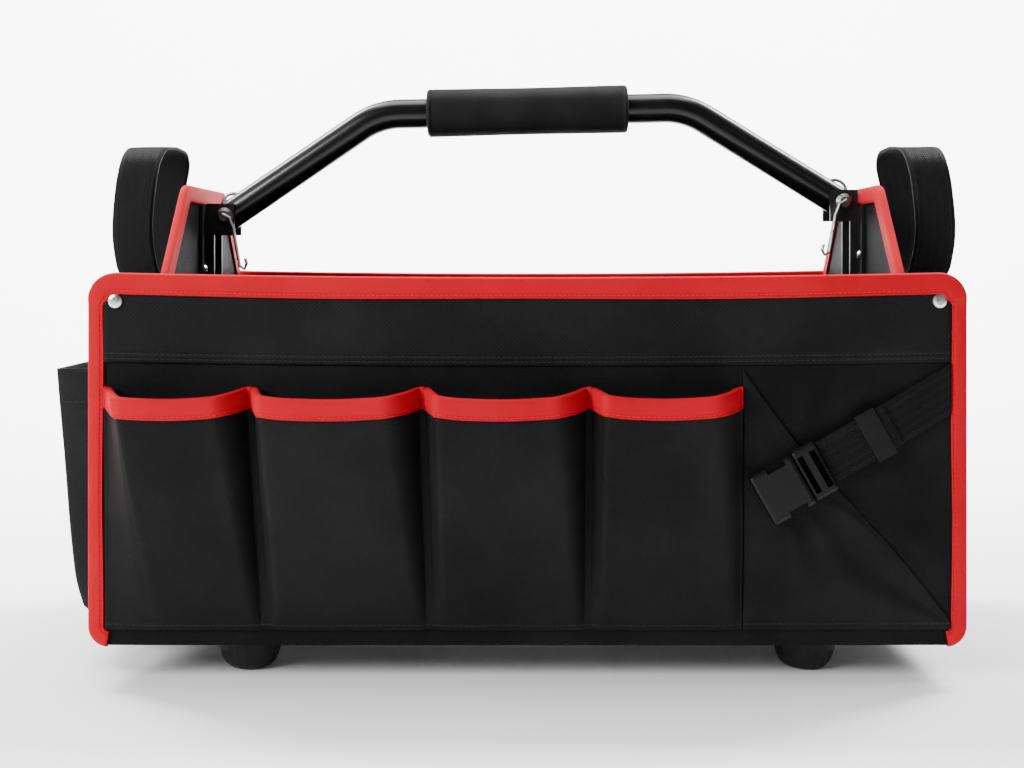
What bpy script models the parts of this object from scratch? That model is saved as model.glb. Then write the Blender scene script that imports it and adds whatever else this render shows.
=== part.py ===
"""Open tote tool bag: cloth box with pockets, red binding tape and a bent tube handle.

Metres, +Z up. The front faces -Y and the bag stands on its four feet at z = 0.
"""
import math

import bmesh
import bpy
from mathutils import Matrix, Vector

MM = 0.001

# Cloth body
LENGTH = 500 * MM              # front panel, side edge to side edge
DEPTH = 220 * MM               # front face to back face
CLOTH_BOTTOM = 21 * MM         # height of the cloth box over the surface it stands on
PANEL_HEIGHT = 212 * MM        # front and back panels
RIM_SAG = 3 * MM               # how far the middle of the rim hangs below its ends
LOW_CORNER = 11 * MM           # radius of a panel's bottom corners
HIGH_CORNER = 15 * MM          # radius of a panel's top corners
PANEL_BELLY = 4 * MM           # how far the middle of a long panel stands out
WALL = 2.4 * MM                # panels: cloth on both sides of a stiff sheet
CLOTH = 1.8 * MM               # pockets: doubled cloth
BAND_WALL = 1.2 * MM
TAPE = 0.9 * MM                # binding tape
WEB = 1.6 * MM                 # webbing
GAP = 0.3 * MM                 # clearance between neighbouring pieces
CURVE_EASE = 0.2 * MM          # added to it where a flat-sided piece follows a curve
RIVET_EASE = 0.1 * MM          # added to it under a rivet's or bolt's head
SEAM_FLANGE = 5 * MM           # edge of a long panel that stands past the end wall

# End walls, drawn in towards the handle, and the ears above the rim
DRAW_START = 100 * MM          # height where the ends begin to lean in
DRAW_END = 212 * MM            # height where they stand upright again
EAR_REACH_LEFT = 210 * MM      # from the middle of the bag to each ear
EAR_REACH_RIGHT = 216 * MM
EAR_BASE_DEPTH = 200 * MM      # width of an ear at the rim
EAR_TOP_DEPTH = 106 * MM
EAR_TOP = 286 * MM             # height of the ears' top edge
FOLD_WIDTH = 14 * MM           # corner fold between an end wall and its seam
SEAM_MARGIN = 4 * MM           # flat edge of an end wall along its seams

# Band, pockets and binding on the front
BAND_DROP = 50 * MM            # from the rim to the band's lower seam
BAND_INSET = 2 * MM            # from the rim to the band's upper edge, under the tape
RIM_TAPE = 10 * MM             # visible width of the rim's tape
SIDE_TAPE = 8 * MM
EAR_TAPE = 9.5 * MM
POCKET_TAPE = 11 * MM
TAPE_BACK = 3.4 * MM           # width of a tape's hidden leg
POCKET_TOP = 147 * MM          # pocket mouth over the cloth's bottom edge, at the dividers
POCKET_BOTTOM = 9.5 * MM       # bottom seam over the cloth's bottom edge
POCKET_DEPTH = 25 * MM         # how far a pocket stands out at its mouth
POCKET_SAG = 5 * MM            # how far the mouth hangs between two dividers
POCKET_RUN = 363 * MM          # from the left side tape to the end of the last pocket
DIVIDER_LEAN = 9 * MM          # how far the first divider moves right on its way down
SLANT_TOP = 159 * MM           # upper end of the slanted mouth over the cloth's bottom edge
SLANT_LOW = 14 * MM
SLANT_PUFF = 4 * MM            # how far its cloth stands out low down
PUFF_TOP = 0.62                # share of the height where the puff ends, below the strap

# Each pocket ends at a divider: its place as a share of the run, its lean as a share of DIVIDER_LEAN,
# the share of the pocket's width that the left flank takes at the bottom, and its share of the depth
DIVIDERS = (
    (0.228, 1.00, 0.34, 0.96),
    (0.499, 0.50, 0.16, 1.00),
    (0.760, -0.10, 0.16, 1.00),
    (1.000, 0.00, 0.14, 0.84),
)

# Across one pocket: share of its width, and share of its depth at the mouth and near the bottom. The flat
# ends are the land that is stitched to the panel.
POCKET_ROWS = (
    (0.00, 0.00, 0.00),
    (0.03, 0.00, 0.00),
    (0.12, 0.78, 0.55),
    (0.25, 0.97, 0.85),
    (0.40, 1.00, 1.00),
    (0.60, 1.00, 1.00),
    (0.76, 0.94, 0.80),
    (0.87, 0.64, 0.45),
    (0.97, 0.00, 0.00),
    (1.00, 0.00, 0.00),
)

# Side pocket on the left end
SIDE_POCKET_WIDTH = 126 * MM
SIDE_POCKET_TOP = 154 * MM     # mouth over the cloth's bottom edge
SIDE_POCKET_REACH = 287 * MM   # from the middle of the bag to the pocket's outer face, at the mouth
SIDE_POCKET_TAPER = 15 * MM    # how much less it reaches at the bottom
SIDE_POCKET_CORNER = 0.24      # share of the outline that each side takes
SIDE_POCKET_RISE = 1 * MM      # its bottom edge over the cloth's bottom edge
SIDE_POCKET_FLARE = 6 * MM     # how far each side leans in on its way out to the face
SIDE_POCKET_BELLY = 2 * MM     # how far its middle stands out
SIDE_POCKET_PINCH = 1 * MM     # how far its closed bottom draws away from the end wall

# Hand loops on the ends
LOOP_WIDTH = 25 * MM
LOOP_TOP = 314 * MM            # height of the loops' top
LOOP_SPREAD = 36 * MM          # half the distance between a loop's two bands
LOOP_LEFT = 247 * MM           # from the middle of the bag to each loop's middle
LOOP_RIGHT = 255 * MM
LOOP_SEWN = 158 * MM           # lower end of the sewn part over the cloth's bottom edge
# Along half a loop: share of the way, height from its sewn end to its top, way out from the ear to the
# loop's middle on the front band and on the back band, share of the spread, and turn from flat on the
# wall (0) to facing the front (1)
LOOP_ROWS = (
    (0.00, 0.00, 0.00, 0.00, 1.06, 0.00),
    (0.14, 0.17, 0.00, 0.00, 1.06, 0.00),
    (0.24, 0.28, 0.28, 0.12, 1.05, 0.35),
    (0.36, 0.43, 0.88, 0.30, 1.03, 0.95),
    (0.50, 0.60, 1.02, 0.35, 1.03, 1.00),
    (0.66, 0.79, 0.90, 0.18, 0.98, 1.00),
    (0.80, 0.93, 0.70, 0.16, 0.82, 1.00),
    (0.90, 0.985, 0.56, 0.32, 0.50, 1.00),
    (1.00, 1.00, 0.45, 0.45, 0.00, 1.00),
)

# Strap and buckle across the slanted pocket
STRAP_WIDTH = 25 * MM
STRAP_SLOPE = 29.6             # degrees above level, rising to the right
BUCKLE_INSET = 26.8 * MM       # middle of the buckle from the end of the last pocket
BUCKLE_X = -LENGTH / 2 + SIDE_TAPE + 4 * GAP + POCKET_RUN + BUCKLE_INSET
BUCKLE_Z = 94 * MM             # and over the cloth's bottom edge
BUCKLE_WIDTH = 31 * MM
BUCKLE_THICK = 9 * MM
BUCKLE_ROUNDING = 2 * MM
NOTCH_DEPTH = 3.5 * MM         # of the female part's two side openings
FEMALE_LENGTH = 27 * MM
MALE_LENGTH = 15 * MM
BUCKLE_RAIL = 4 * MM           # width of the male part's two side rails
SLOT_WIDTH = 3.6 * MM
TAIL_END = 67 * MM             # from the buckle's middle to the end of the strap's folded tail
KEEPER_LENGTH = 12 * MM
KEEPER_WALL = 1 * MM           # over and under the strap
KEEPER_SIDE = 2 * MM           # beyond each edge of the strap

# Handle
TUBE_DIAMETER = 19 * MM
RUN_HEIGHT = 338 * MM          # axis of the straight run
HALF_RUN = 100 * MM            # from its middle to the point where a leg's axis meets it
BEND_RADIUS = 48 * MM
BOLT_INSET = 14 * MM           # from an ear to the bolt that holds the tube
LEG_DROP = 64.2 * MM           # from the run's axis to the bolts
TUBE_PAST_BOLT = 5.5 * MM
HANDLE_TILT = 1.3              # degrees, the right side higher
GRIP_DIAMETER = 31 * MM
GRIP_ROUNDING = 1.5 * MM       # of the sleeve's two ends
GRIP_LENGTH = 130 * MM
GRIP_SHIFT = -3 * MM

# Brackets, bolts, pull rings and clips
BRACKET_WALL = 2 * MM
BRACKET_WIDTH = 42 * MM
BRACKET_BOTTOM = 214 * MM
BRACKET_ABOVE_BOLT = 8 * MM
CHEEK_REACH = 20 * MM          # depth of the bracket's two cheeks
CHEEK_RIB = 5 * MM             # how far the cheeks stand out below the bolt
CHEEK_BELOW_BOLT = 12 * MM     # where the full cheek ends
BOLT_DIAMETER = 6 * MM
BOLT_HEAD = 11 * MM
BOLT_HEAD_HEIGHT = 2.6 * MM
RING_DIAMETER = 18 * MM
RING_WIRE = 2.2 * MM
CLIP_WIRE = 2.2 * MM
CLIP_LENGTH = 34 * MM
RIVET_HEAD = 8.6 * MM
RIVET_HEIGHT = 1.6 * MM
RIVET_X = 235 * MM
RIVET_DROP = 15 * MM           # below the rim's ends
PLATE_RIVET = 6 * MM
PLATE_RIVET_DROP = 34 * MM     # below the bolt
PLATE_RIVET_EDGE = 1 * MM      # from a rivet's head to the plate's edge

# Feet
FOOT_DIAMETER = 36.5 * MM
FOOT_FLAT = 20 * MM
FOOT_X = 165 * MM
FOOT_Y = 75 * MM

BAG = bpy.data.collections.new("Tool bag")
CUTTERS = bpy.data.collections.new("Cutters")


def material(name, colour, roughness, metallic=0.0):
    """A plain Principled finish."""
    finish = bpy.data.materials.new(name)
    finish.use_nodes = True
    shader = finish.node_tree.nodes["Principled BSDF"]
    shader.inputs["Base Color"].default_value = (*colour, 1)
    shader.inputs["Roughness"].default_value = roughness
    shader.inputs["Metallic"].default_value = metallic
    return finish


def add_object(name, data, finish, collection=BAG):
    """A named object with its material, in the bag's collection."""
    data.materials.append(finish)
    piece = bpy.data.objects.new(name, data)
    collection.objects.link(piece)
    return piece


def smooth(value):
    """0 to 1 with level ends."""
    value = min(max(value, 0), 1)
    return value * value * (3 - 2 * value)


def blend(low, high, share):
    return low + (high - low) * share


def between(rows, share):
    """The row at this share of the way, on a smooth curve through the table's rows."""
    index = max(i for i in range(len(rows) - 1) if rows[i][0] <= share)
    before, start, end, after = (rows[min(max(i, 0), len(rows) - 1)] for i in range(index - 1, index + 3))
    width = end[0] - start[0]
    t = (share - start[0]) / width
    values = []
    for column in range(len(start)):
        rise_start = (end[column] - before[column]) / (end[0] - before[0]) * width
        rise_end = (after[column] - start[column]) / (after[0] - start[0]) * width
        values.append(
            (2 * t**3 - 3 * t**2 + 1) * start[column] + (t**3 - 2 * t**2 + t) * rise_start
            + (3 * t**2 - 2 * t**3) * end[column] + (t**3 - t**2) * rise_end
        )
    return values


def sheet(name, surface, columns, rows, wall, finish):
    """A cloth piece: a grid of columns by rows laid on surface(u, v), with its wall's thickness."""
    grid = bmesh.new()
    bmesh.ops.create_grid(grid, x_segments=columns, y_segments=rows, size=0.5)
    for vertex in grid.verts:
        vertex.co = surface(vertex.co.x + 0.5, vertex.co.y + 0.5)
    mesh = bpy.data.meshes.new(name)
    grid.to_mesh(mesh)
    grid.free()
    mesh.shade_smooth()
    piece = add_object(name, mesh, finish)
    solidify = piece.modifiers.new("Wall", "SOLIDIFY")
    solidify.thickness = wall
    solidify.offset = 0
    solidify.use_even_offset = True
    return piece


def offset(surface, distance, columns):
    """The same sheet moved this distance off its facets, which are 1 / columns wide in u.

    A point moves along the mean of the two neighbouring facets' normals, and further in a sharp fold, so
    that it keeps the distance to both.
    """
    wide = 1 / columns
    high = 0.01

    def moved(u, v):
        across = surface(u, min(v + high, 1)) - surface(u, max(v - high, 0))
        normals = []
        for start, end in ((u - wide, u), (u, u + wide)):
            if start > -wide / 2 and end < 1 + wide / 2:
                along = surface(min(end, 1), v) - surface(max(start, 0), v)
                normals.append(along.cross(across).normalized())
        mean = sum(normals, Vector()).normalized()
        return surface(u, v) + distance / max(mean.dot(normals[0]), 0.35) * mean

    return moved


def folded_tape(name, edge, seat, facing, leg, back_leg, front, back, finish, along):
    """Binding tape folded over an edge.

    edge(t) gives the edge's point and the direction into the cloth, seat(point) moves a point level onto
    the middle of the cloth, and facing is the way that the tape's wide leg faces. front and back are the
    distances from the cloth's middle to the middle of each leg.
    """
    section = ((leg, front), (-GAP, front), (-GAP - TAPE, (front - back) / 2), (-GAP, -back), (back_leg, -back))
    corners = len(section) - 1

    def surface(u, v):
        point, inward = edge(u)
        into, out = section[round(v * corners)]
        return seat(point + inward * into) + facing * out

    return sheet(name, surface, along, corners, TAPE, finish)


def turned(name, profile, steps, finish, place):
    """A turned piece: the profile runs from the axis down its outer side and back to the axis."""
    mesh = bpy.data.meshes.new(name)
    points = [(radius, 0, height) for radius, height in profile]
    mesh.from_pydata(points, [(i, i + 1) for i in range(len(points) - 1)], [])
    piece = add_object(name, mesh, finish)
    piece.matrix_world = place
    screw = piece.modifiers.new("Turn", "SCREW")
    screw.steps = steps
    screw.render_steps = steps
    screw.use_merge_vertices = True
    screw.merge_threshold = 1e-5
    return piece


def wire(name, points, diameter, finish, sides=2, closed=False):
    """A round wire or tube along the points."""
    curve = bpy.data.curves.new(name, "CURVE")
    curve.dimensions = "3D"
    curve.bevel_depth = diameter / 2
    curve.bevel_resolution = sides
    curve.use_fill_caps = not closed
    spline = curve.splines.new("POLY")
    spline.points.add(len(points) - 1)
    for target, point in zip(spline.points, points):
        target.co = (*point, 1)
    spline.use_cyclic_u = closed
    return add_object(name, curve, finish)


def as_mesh(piece):
    """The curve or modified object made a mesh, with its loose caps welded."""
    name = piece.name
    bpy.context.view_layer.update()
    evaluated = piece.evaluated_get(bpy.context.evaluated_depsgraph_get())
    mesh = bpy.data.meshes.new_from_object(evaluated)
    welded = bmesh.new()
    welded.from_mesh(mesh)
    bmesh.ops.remove_doubles(welded, verts=welded.verts, dist=1e-6)
    bmesh.ops.recalc_face_normals(welded, faces=welded.faces)
    welded.to_mesh(mesh)
    welded.free()
    copy = bpy.data.objects.new(name, mesh)
    BAG.objects.link(copy)
    copy.matrix_world = piece.matrix_world
    bpy.data.objects.remove(piece)
    copy.name = name
    return copy


def box_cutter(name, size, place):
    """A box that cuts or joins, kept out of the picture."""
    block = bmesh.new()
    bmesh.ops.create_cube(block, size=1, matrix=Matrix.Diagonal((*size, 1)))
    mesh = bpy.data.meshes.new(name)
    block.to_mesh(mesh)
    block.free()
    return hide_cutter(name, mesh, place)


def rod_cutter(name, diameter, length, place):
    """A round rod along its own Z that cuts a bolt's hole."""
    rod = bmesh.new()
    bmesh.ops.create_cone(
        rod, cap_ends=True, segments=16, radius1=diameter / 2, radius2=diameter / 2, depth=length
    )
    mesh = bpy.data.meshes.new(name)
    rod.to_mesh(mesh)
    rod.free()
    return hide_cutter(name, mesh, place)


def hide_cutter(name, mesh, place):
    cutter = bpy.data.objects.new(name, mesh)
    CUTTERS.objects.link(cutter)
    cutter.matrix_world = place
    cutter.hide_render = True
    cutter.display_type = "WIRE"
    return cutter


def cut(piece, cutter, operation="DIFFERENCE"):
    boolean = piece.modifiers.new(operation.title(), "BOOLEAN")
    boolean.operation = operation
    boolean.object = cutter


def half_width(z):
    """Half the width of a long panel at height z: straight sides, with a round corner at each end."""
    side = LENGTH / 2
    low = LOW_CORNER - (z - CLOTH_BOTTOM)
    high = HIGH_CORNER - (CLOTH_BOTTOM + PANEL_HEIGHT - z)
    if low > 0:
        return side - LOW_CORNER + math.sqrt(max(LOW_CORNER**2 - low**2, 0))
    if high > 0:
        return side - HIGH_CORNER + math.sqrt(max(HIGH_CORNER**2 - high**2, 0))
    return side


def rim_drop(x):
    """How far the rim hangs below its ends at this x."""
    return RIM_SAG * (1 - min((2 * x / LENGTH) ** 2, 1))


def face_y(x, z):
    """Distance from the bag's middle plane to a long panel's outer face."""
    across = 1 - min((2 * x / LENGTH) ** 2, 1)
    up = math.sin(math.pi * min(max((z - CLOTH_BOTTOM) / PANEL_HEIGHT, 0), 1))
    return DEPTH / 2 + PANEL_BELLY * across * up


def corner_points(first, last, radius, x, z):
    """Points of a round corner about the centre (x, z), between two angles in degrees."""
    points = []
    for step in range(4):
        angle = math.radians(blend(first, last, step / 3))
        points.append((x + radius * math.cos(angle), z + radius * math.sin(angle)))
    return points


def side_points():
    """A long panel's side edge from the bottom edge up to the top corner's start, as (x, z)."""
    low = CLOTH_BOTTOM + LOW_CORNER
    high = CLOTH_BOTTOM + PANEL_HEIGHT - HIGH_CORNER
    points = corner_points(-90, 0, LOW_CORNER, LENGTH / 2 - LOW_CORNER, low)
    return points + [(LENGTH / 2, blend(low, high, step / 6)) for step in range(1, 7)]


def high_corner_points(first):
    """The round top corner from this angle in degrees to the rim, as (x, z)."""
    centre = CLOTH_BOTTOM + PANEL_HEIGHT - HIGH_CORNER
    return corner_points(first, 90, HIGH_CORNER, LENGTH / 2 - HIGH_CORNER, centre)


def long_panel_surface(side):
    """Middle of the panel's wall. side is -1 for the front and 1 for the back."""
    outline = side_points() + high_corner_points(0)[1:]

    def surface(u, v):
        edge, z = outline[round(v * (len(outline) - 1))]
        x = (2 * u - 1) * edge
        share = (z - CLOTH_BOTTOM) / PANEL_HEIGHT
        return Vector((x, side * (face_y(x, z) - WALL / 2), z - rim_drop(x) * share))

    return surface, len(outline) - 1


def rim_points():
    """The outline over the rim, from just past one side's tape to the other's, as (x, z)."""
    start = math.degrees(2 * GAP / HIGH_CORNER)
    half = high_corner_points(start)
    half += [(blend(half[-1][0], 0, step / 5), half[-1][1]) for step in range(1, 6)]
    return [(-x, z) for x, z in half] + list(reversed(half[:-1]))


def run_at(points, index):
    """Direction of an outline at one of its points, carried on round the curve at its two ends."""

    def step(low, high):
        return Vector((points[high][0] - points[low][0], points[high][1] - points[low][1])).normalized()

    last = len(points) - 1
    if index == 0:
        return (2 * step(0, 1) - step(0, 2)).normalized()
    if index == last:
        return (2 * step(last - 1, last) - step(last - 2, last)).normalized()
    return step(index - 1, index + 1)


def panel_edge(points):
    """edge(t) for folded_tape along outline points of a long panel."""

    def edge(t):
        index = round(t * (len(points) - 1))
        x, z = points[index]
        run = run_at(points, index)
        inward = Vector((-run.y, 0, run.x))
        if inward.x * x + inward.z * (z - CLOTH_BOTTOM - PANEL_HEIGHT / 2) > 0:
            inward = -inward
        share = (z - CLOTH_BOTTOM) / PANEL_HEIGHT
        return Vector((x, 0, z - rim_drop(x) * share)), inward

    return edge


def make_long_panels(cloth):
    for name, side in (("front_panel", -1), ("back_panel", 1)):
        surface, rows = long_panel_surface(side)
        sheet(name, surface, 16, rows, WALL, cloth)


def make_panel_bindings(tape):
    """Tape over the rims and the four upright edges of the long panels."""
    covered = {"front": BAND_WALL + GAP, "back": 0}
    leg_out = WALL / 2 + GAP + TAPE / 2
    for name, side in (("front", -1), ("back", 1)):
        facing = Vector((0, side, 0))

        def seat(point, side=side):
            return Vector((point.x, side * (face_y(point.x, point.z) - WALL / 2), point.z))

        points = rim_points()
        folded_tape(f"rim_binding_{name}", panel_edge(points), seat, facing, RIM_TAPE, TAPE_BACK,
                    leg_out + covered[name], leg_out, tape, len(points) - 1)
        for hand, sign in (("left", -1), ("right", 1)):
            upright = [(sign * x, z) for x, z in side_points()[1:]]
            folded_tape(f"corner_binding_{name}_{hand}", panel_edge(upright), seat, facing, SIDE_TAPE,
                        TAPE_BACK, leg_out, leg_out, tape, len(upright) - 1)


def ear_reach(sign):
    return EAR_REACH_LEFT if sign < 0 else EAR_REACH_RIGHT


def low_tape_end():
    """Height below which the side tape's hidden leg turns in with the round bottom corner."""
    return CLOTH_BOTTOM + LOW_CORNER + TAPE_BACK


def end_half_depth(z):
    """Half the width of an end wall at height z, from its seams to the ear's slanted edges."""
    seam = DEPTH / 2 - WALL - GAP
    rim = CLOTH_BOTTOM + PANEL_HEIGHT
    shoulder = rim - HIGH_CORNER
    if z <= low_tape_end():
        return seam - TAPE - 2 * GAP
    if z <= shoulder:
        return seam
    if z <= rim:
        return blend(seam, EAR_BASE_DEPTH / 2, (z - shoulder) / (rim - shoulder))
    return blend(EAR_BASE_DEPTH / 2, EAR_TOP_DEPTH / 2, (z - rim) / (EAR_TOP - rim))


def end_x(y, z, sign):
    """Distance from the bag's middle to the middle of an end wall: drawn in at the top, held at its seams."""
    seam = LENGTH / 2 - SEAM_FLANGE - WALL / 2
    slope = min(max((z - DRAW_START) / (DRAW_END - DRAW_START), 0), 1)
    drawn = slope * (seam - ear_reach(sign))
    free = smooth((end_half_depth(z) - SEAM_MARGIN - abs(y)) / FOLD_WIDTH)
    rim = CLOTH_BOTTOM + PANEL_HEIGHT
    loose = smooth((z - (rim - 2 * HIGH_CORNER)) / (2 * HIGH_CORNER - RIM_TAPE / 2))
    return seam - drawn * max(free, loose)


def end_rows():
    """Heights of an end wall's grid rows."""
    rim = CLOTH_BOTTOM + PANEL_HEIGHT
    lower = [blend(DRAW_START, rim - 2 * HIGH_CORNER, share / 3) for share in range(4)]
    upper = [DRAW_END, rim - HIGH_CORNER, rim - HIGH_CORNER / 2, rim, blend(rim, EAR_TOP, 0.5), EAR_TOP]
    return [CLOTH_BOTTOM, low_tape_end(), low_tape_end() + TAPE_BACK] + lower + upper


def make_end_panels(cloth):
    heights = end_rows()
    rows = len(heights) - 1
    for name, sign in (("end_panel_left", -1), ("end_panel_right", 1)):

        def surface(u, v, sign=sign):
            z = heights[round(v * rows)]
            y = math.sin(math.pi * (u - 0.5)) * end_half_depth(z)
            return Vector((sign * end_x(y, z, sign), y, z))

        sheet(name, surface, 12, rows, WALL, cloth)


def make_ear_bindings(tape):
    """Tape up the slanted edges of each ear and over its top."""
    start = CLOTH_BOTTOM + PANEL_HEIGHT
    low = EAR_BASE_DEPTH / 2
    high = EAR_TOP_DEPTH / 2
    half = [(blend(low, high, share), blend(start, EAR_TOP, share)) for share in (0.08, 0.5, 1)]
    outline = [(-y, z) for y, z in half] + [(0, EAR_TOP)] + list(reversed(half))
    leg_out = WALL / 2 + GAP + TAPE / 2
    for name, sign in (("ear_binding_left", -1), ("ear_binding_right", 1)):

        def seat(point, sign=sign):
            return Vector((sign * end_x(point.y, point.z, sign), point.y, point.z))

        def edge(t):
            index = round(t * (len(outline) - 1))
            y, z = outline[index]
            run = run_at(outline, index)
            inward = Vector((0, run.y, -run.x))
            return Vector((0, y, z)), inward

        folded_tape(name, edge, seat, Vector((-sign, 0, 0)), EAR_TAPE, EAR_TAPE, leg_out, leg_out, tape,
                    len(outline) - 1)


def make_base_panel(cloth):
    """Stiff floor between the four walls."""
    half_x = LENGTH / 2 - SEAM_FLANGE - WALL - GAP
    half_y = DEPTH / 2 - WALL - GAP

    def surface(u, v):
        return Vector(((2 * u - 1) * half_x, (2 * v - 1) * half_y, CLOTH_BOTTOM + WALL / 2))

    sheet("base_panel", surface, 8, 4, WALL, cloth)


def front_stack(outwards):
    """point(x, z) on the front, this far outside the front panel's face."""

    def point(x, z):
        share = (z - CLOTH_BOTTOM) / PANEL_HEIGHT
        return Vector((x, -face_y(x, z) - outwards, z - rim_drop(x) * share))

    return point


def make_top_band(cloth):
    """Doubled cloth under the front rim."""
    low = CLOTH_BOTTOM + PANEL_HEIGHT - BAND_DROP
    high = CLOTH_BOTTOM + PANEL_HEIGHT - BAND_INSET
    half = LENGTH / 2 - SIDE_TAPE - GAP
    place = front_stack(GAP + BAND_WALL / 2)

    def surface(u, v):
        z = blend(low, high, v)
        narrower = min(half, half_width(z) - 2 * GAP)
        return place((2 * u - 1) * narrower, z)

    sheet("top_band_front", surface, 16, 3, BAND_WALL, cloth)


def pocket_shape(u, up):
    """Where the strip is at u: its x, how far it stands out, and how far its mouth is from the stitching."""
    start = -LENGTH / 2 + SIDE_TAPE + 4 * GAP
    steps = len(POCKET_ROWS) - 1
    column = round(u * steps * len(DIVIDERS))
    index = min(column // steps, len(DIVIDERS) - 1)
    across, mouth, low = POCKET_ROWS[column - index * steps]
    place, lean, low_flank, depth = DIVIDERS[index]
    before = DIVIDERS[index - 1] if index else (0, 0, 0, 0)
    left = start + before[0] * POCKET_RUN + before[1] * DIVIDER_LEAN * (1 - up)
    right = start + place * POCKET_RUN + lean * DIVIDER_LEAN * (1 - up)
    bulge = blend(low * min(across / low_flank, 1), mouth, up) * depth * POCKET_DEPTH
    return blend(left, right, across), bulge, mouth


def pocket_surface(u, v):
    """Middle of the pocket strip: stitched down at the dividers and the bottom, billowed in between."""
    x, bulge, free = pocket_shape(u, v)
    low = CLOTH_BOTTOM + POCKET_BOTTOM
    high = CLOTH_BOTTOM + POCKET_TOP - POCKET_SAG * free
    z = blend(low, high, v)
    seat = blend(GAP, 3 * GAP + TAPE, v) + CLOTH / 2
    return Vector((x, -face_y(x, z) - seat - bulge * v**0.85, z))


def make_pockets(cloth, tape):
    """The four pockets are one strip of cloth, and one tape runs along its mouth."""
    columns = (len(POCKET_ROWS) - 1) * len(DIVIDERS)
    sheet("pocket_strip", pocket_surface, columns, 7, CLOTH, cloth)
    leg_out = CLOTH / 2 + 1.5 * GAP + TAPE / 2
    front = offset(pocket_surface, leg_out, columns)
    inside = offset(pocket_surface, -leg_out, columns)
    height = POCKET_TOP - POCKET_BOTTOM
    low = 1 - POCKET_TAPE / height
    over = Vector((0, 0, GAP + TAPE))
    lift = Vector((0, 0, GAP))

    def surface(u, v):
        rows = (front(u, low), front(u, 1) + lift, pocket_surface(u, 1) + over,
                inside(u, 1) + lift, inside(u, 1 - TAPE_BACK / height))
        return rows[round(v * (len(rows) - 1))]

    sheet("pocket_binding", surface, columns, 4, TAPE, tape)


def slant_mouth(share):
    """Height of the slanted mouth, at a share of the way from its upper end to its lower one."""
    eased = share + 0.05 * math.sin(2 * math.pi * share)
    return CLOTH_BOTTOM + blend(SLANT_TOP, SLANT_LOW, eased)


def slant_surface(u, v):
    """Middle of the slanted pocket's cloth: a low soft puff below its diagonal mouth."""
    left = -LENGTH / 2 + SIDE_TAPE + 4 * GAP + POCKET_RUN + 2 * GAP
    right = LENGTH / 2 - SIDE_TAPE - 4 * GAP
    x = blend(left, right, u)
    z = blend(CLOTH_BOTTOM + POCKET_BOTTOM, slant_mouth(u), v)
    puff = SLANT_PUFF * math.sin(math.pi * u) * math.sin(math.pi * min(v / PUFF_TOP, 1)) ** 2
    return Vector((x, -face_y(x, z) - GAP - CLOTH / 2 - puff, z))


def make_slant_pocket(cloth):
    sheet("slant_pocket", slant_surface, 9, 8, CLOTH, cloth)


def make_side_pocket(cloth):
    """Billowed pocket on the left end: a U-shaped wall whose bottom closes against the end wall."""
    columns = 12
    bend = (DRAW_START - CLOTH_BOTTOM - SIDE_POCKET_RISE) / (SIDE_POCKET_TOP - SIDE_POCKET_RISE)
    heights = (0.0, 0.02, 0.06, 0.2, blend(0.2, bend, 0.5), bend, blend(bend, 1, 0.5), 1.0)
    spreads = (0.0, 0.45, 0.9, 1.0, 1.0, 1.0, 1.0, 1.0)
    rows = len(heights) - 1

    def surface(u, v):
        row = round(v * rows)
        z = CLOTH_BOTTOM + SIDE_POCKET_RISE + heights[row] * (SIDE_POCKET_TOP - SIDE_POCKET_RISE)
        side = min(u, 1 - u) / SIDE_POCKET_CORNER
        out = math.sin(math.pi / 2 * min(side, 1)) ** 0.7
        half = SIDE_POCKET_WIDTH / 2
        middle = (u - SIDE_POCKET_CORNER) / (1 - 2 * SIDE_POCKET_CORNER)
        edge_in = SIDE_POCKET_FLARE * min(side, 1)
        y = (2 * min(max(middle, 0), 1) - 1) * (half - SIDE_POCKET_FLARE)
        y += math.copysign(SIDE_POCKET_FLARE - edge_in, u - 0.5) if abs(u - 0.5) > 1e-6 else 0
        wall = end_x(y, z, -1) + WALL / 2 + GAP + CURVE_EASE
        reach = SIDE_POCKET_REACH - CLOTH / 2 - SIDE_POCKET_TAPER * (1 - heights[row])
        belly = SIDE_POCKET_BELLY * math.sin(math.pi * u) * math.sin(math.pi * heights[row])
        pinch = SIDE_POCKET_PINCH * (1 - spreads[row])
        return Vector((-(wall + (reach + belly - wall) * out * spreads[row]) - pinch, y, z))

    sheet("side_pocket", surface, columns, rows, CLOTH, cloth)


def make_hand_loops(web):
    """Webbing arches outside the ears: sewn flat on the end wall, then turned to face the front."""
    for name, sign, middle in (("hand_loop_left", -1, LOOP_LEFT), ("hand_loop_right", 1, LOOP_RIGHT)):

        def surface(u, v, sign=sign, middle=middle):
            side = -1 if u < 0.5 else 1
            share, height, front_out, back_out, spread, turn = between(LOOP_ROWS, 1 - abs(2 * u - 1))
            out = front_out if side < 0 else back_out
            low = CLOTH_BOTTOM + LOOP_SEWN
            z = blend(low, LOOP_TOP, height)
            y = side * LOOP_SPREAD * spread
            on_wall = end_x(y, min(z, EAR_TOP), sign) + WALL / 2 + 2 * GAP + WEB / 2
            angle = math.pi / 2 * min(max(turn, 0), 1)
            turned_clear = on_wall + LOOP_WIDTH / 2 * math.sin(angle)
            x = sign * (turned_clear + (middle - on_wall - LOOP_WIDTH / 2) * min(max(out, 0), 1.2))
            width = Vector((sign * math.sin(angle), side * math.cos(angle), 0))
            return Vector((x, y, z)) + width * LOOP_WIDTH * (v - 0.5)

        sheet(name, surface, 40, 2, WEB, web)


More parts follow.
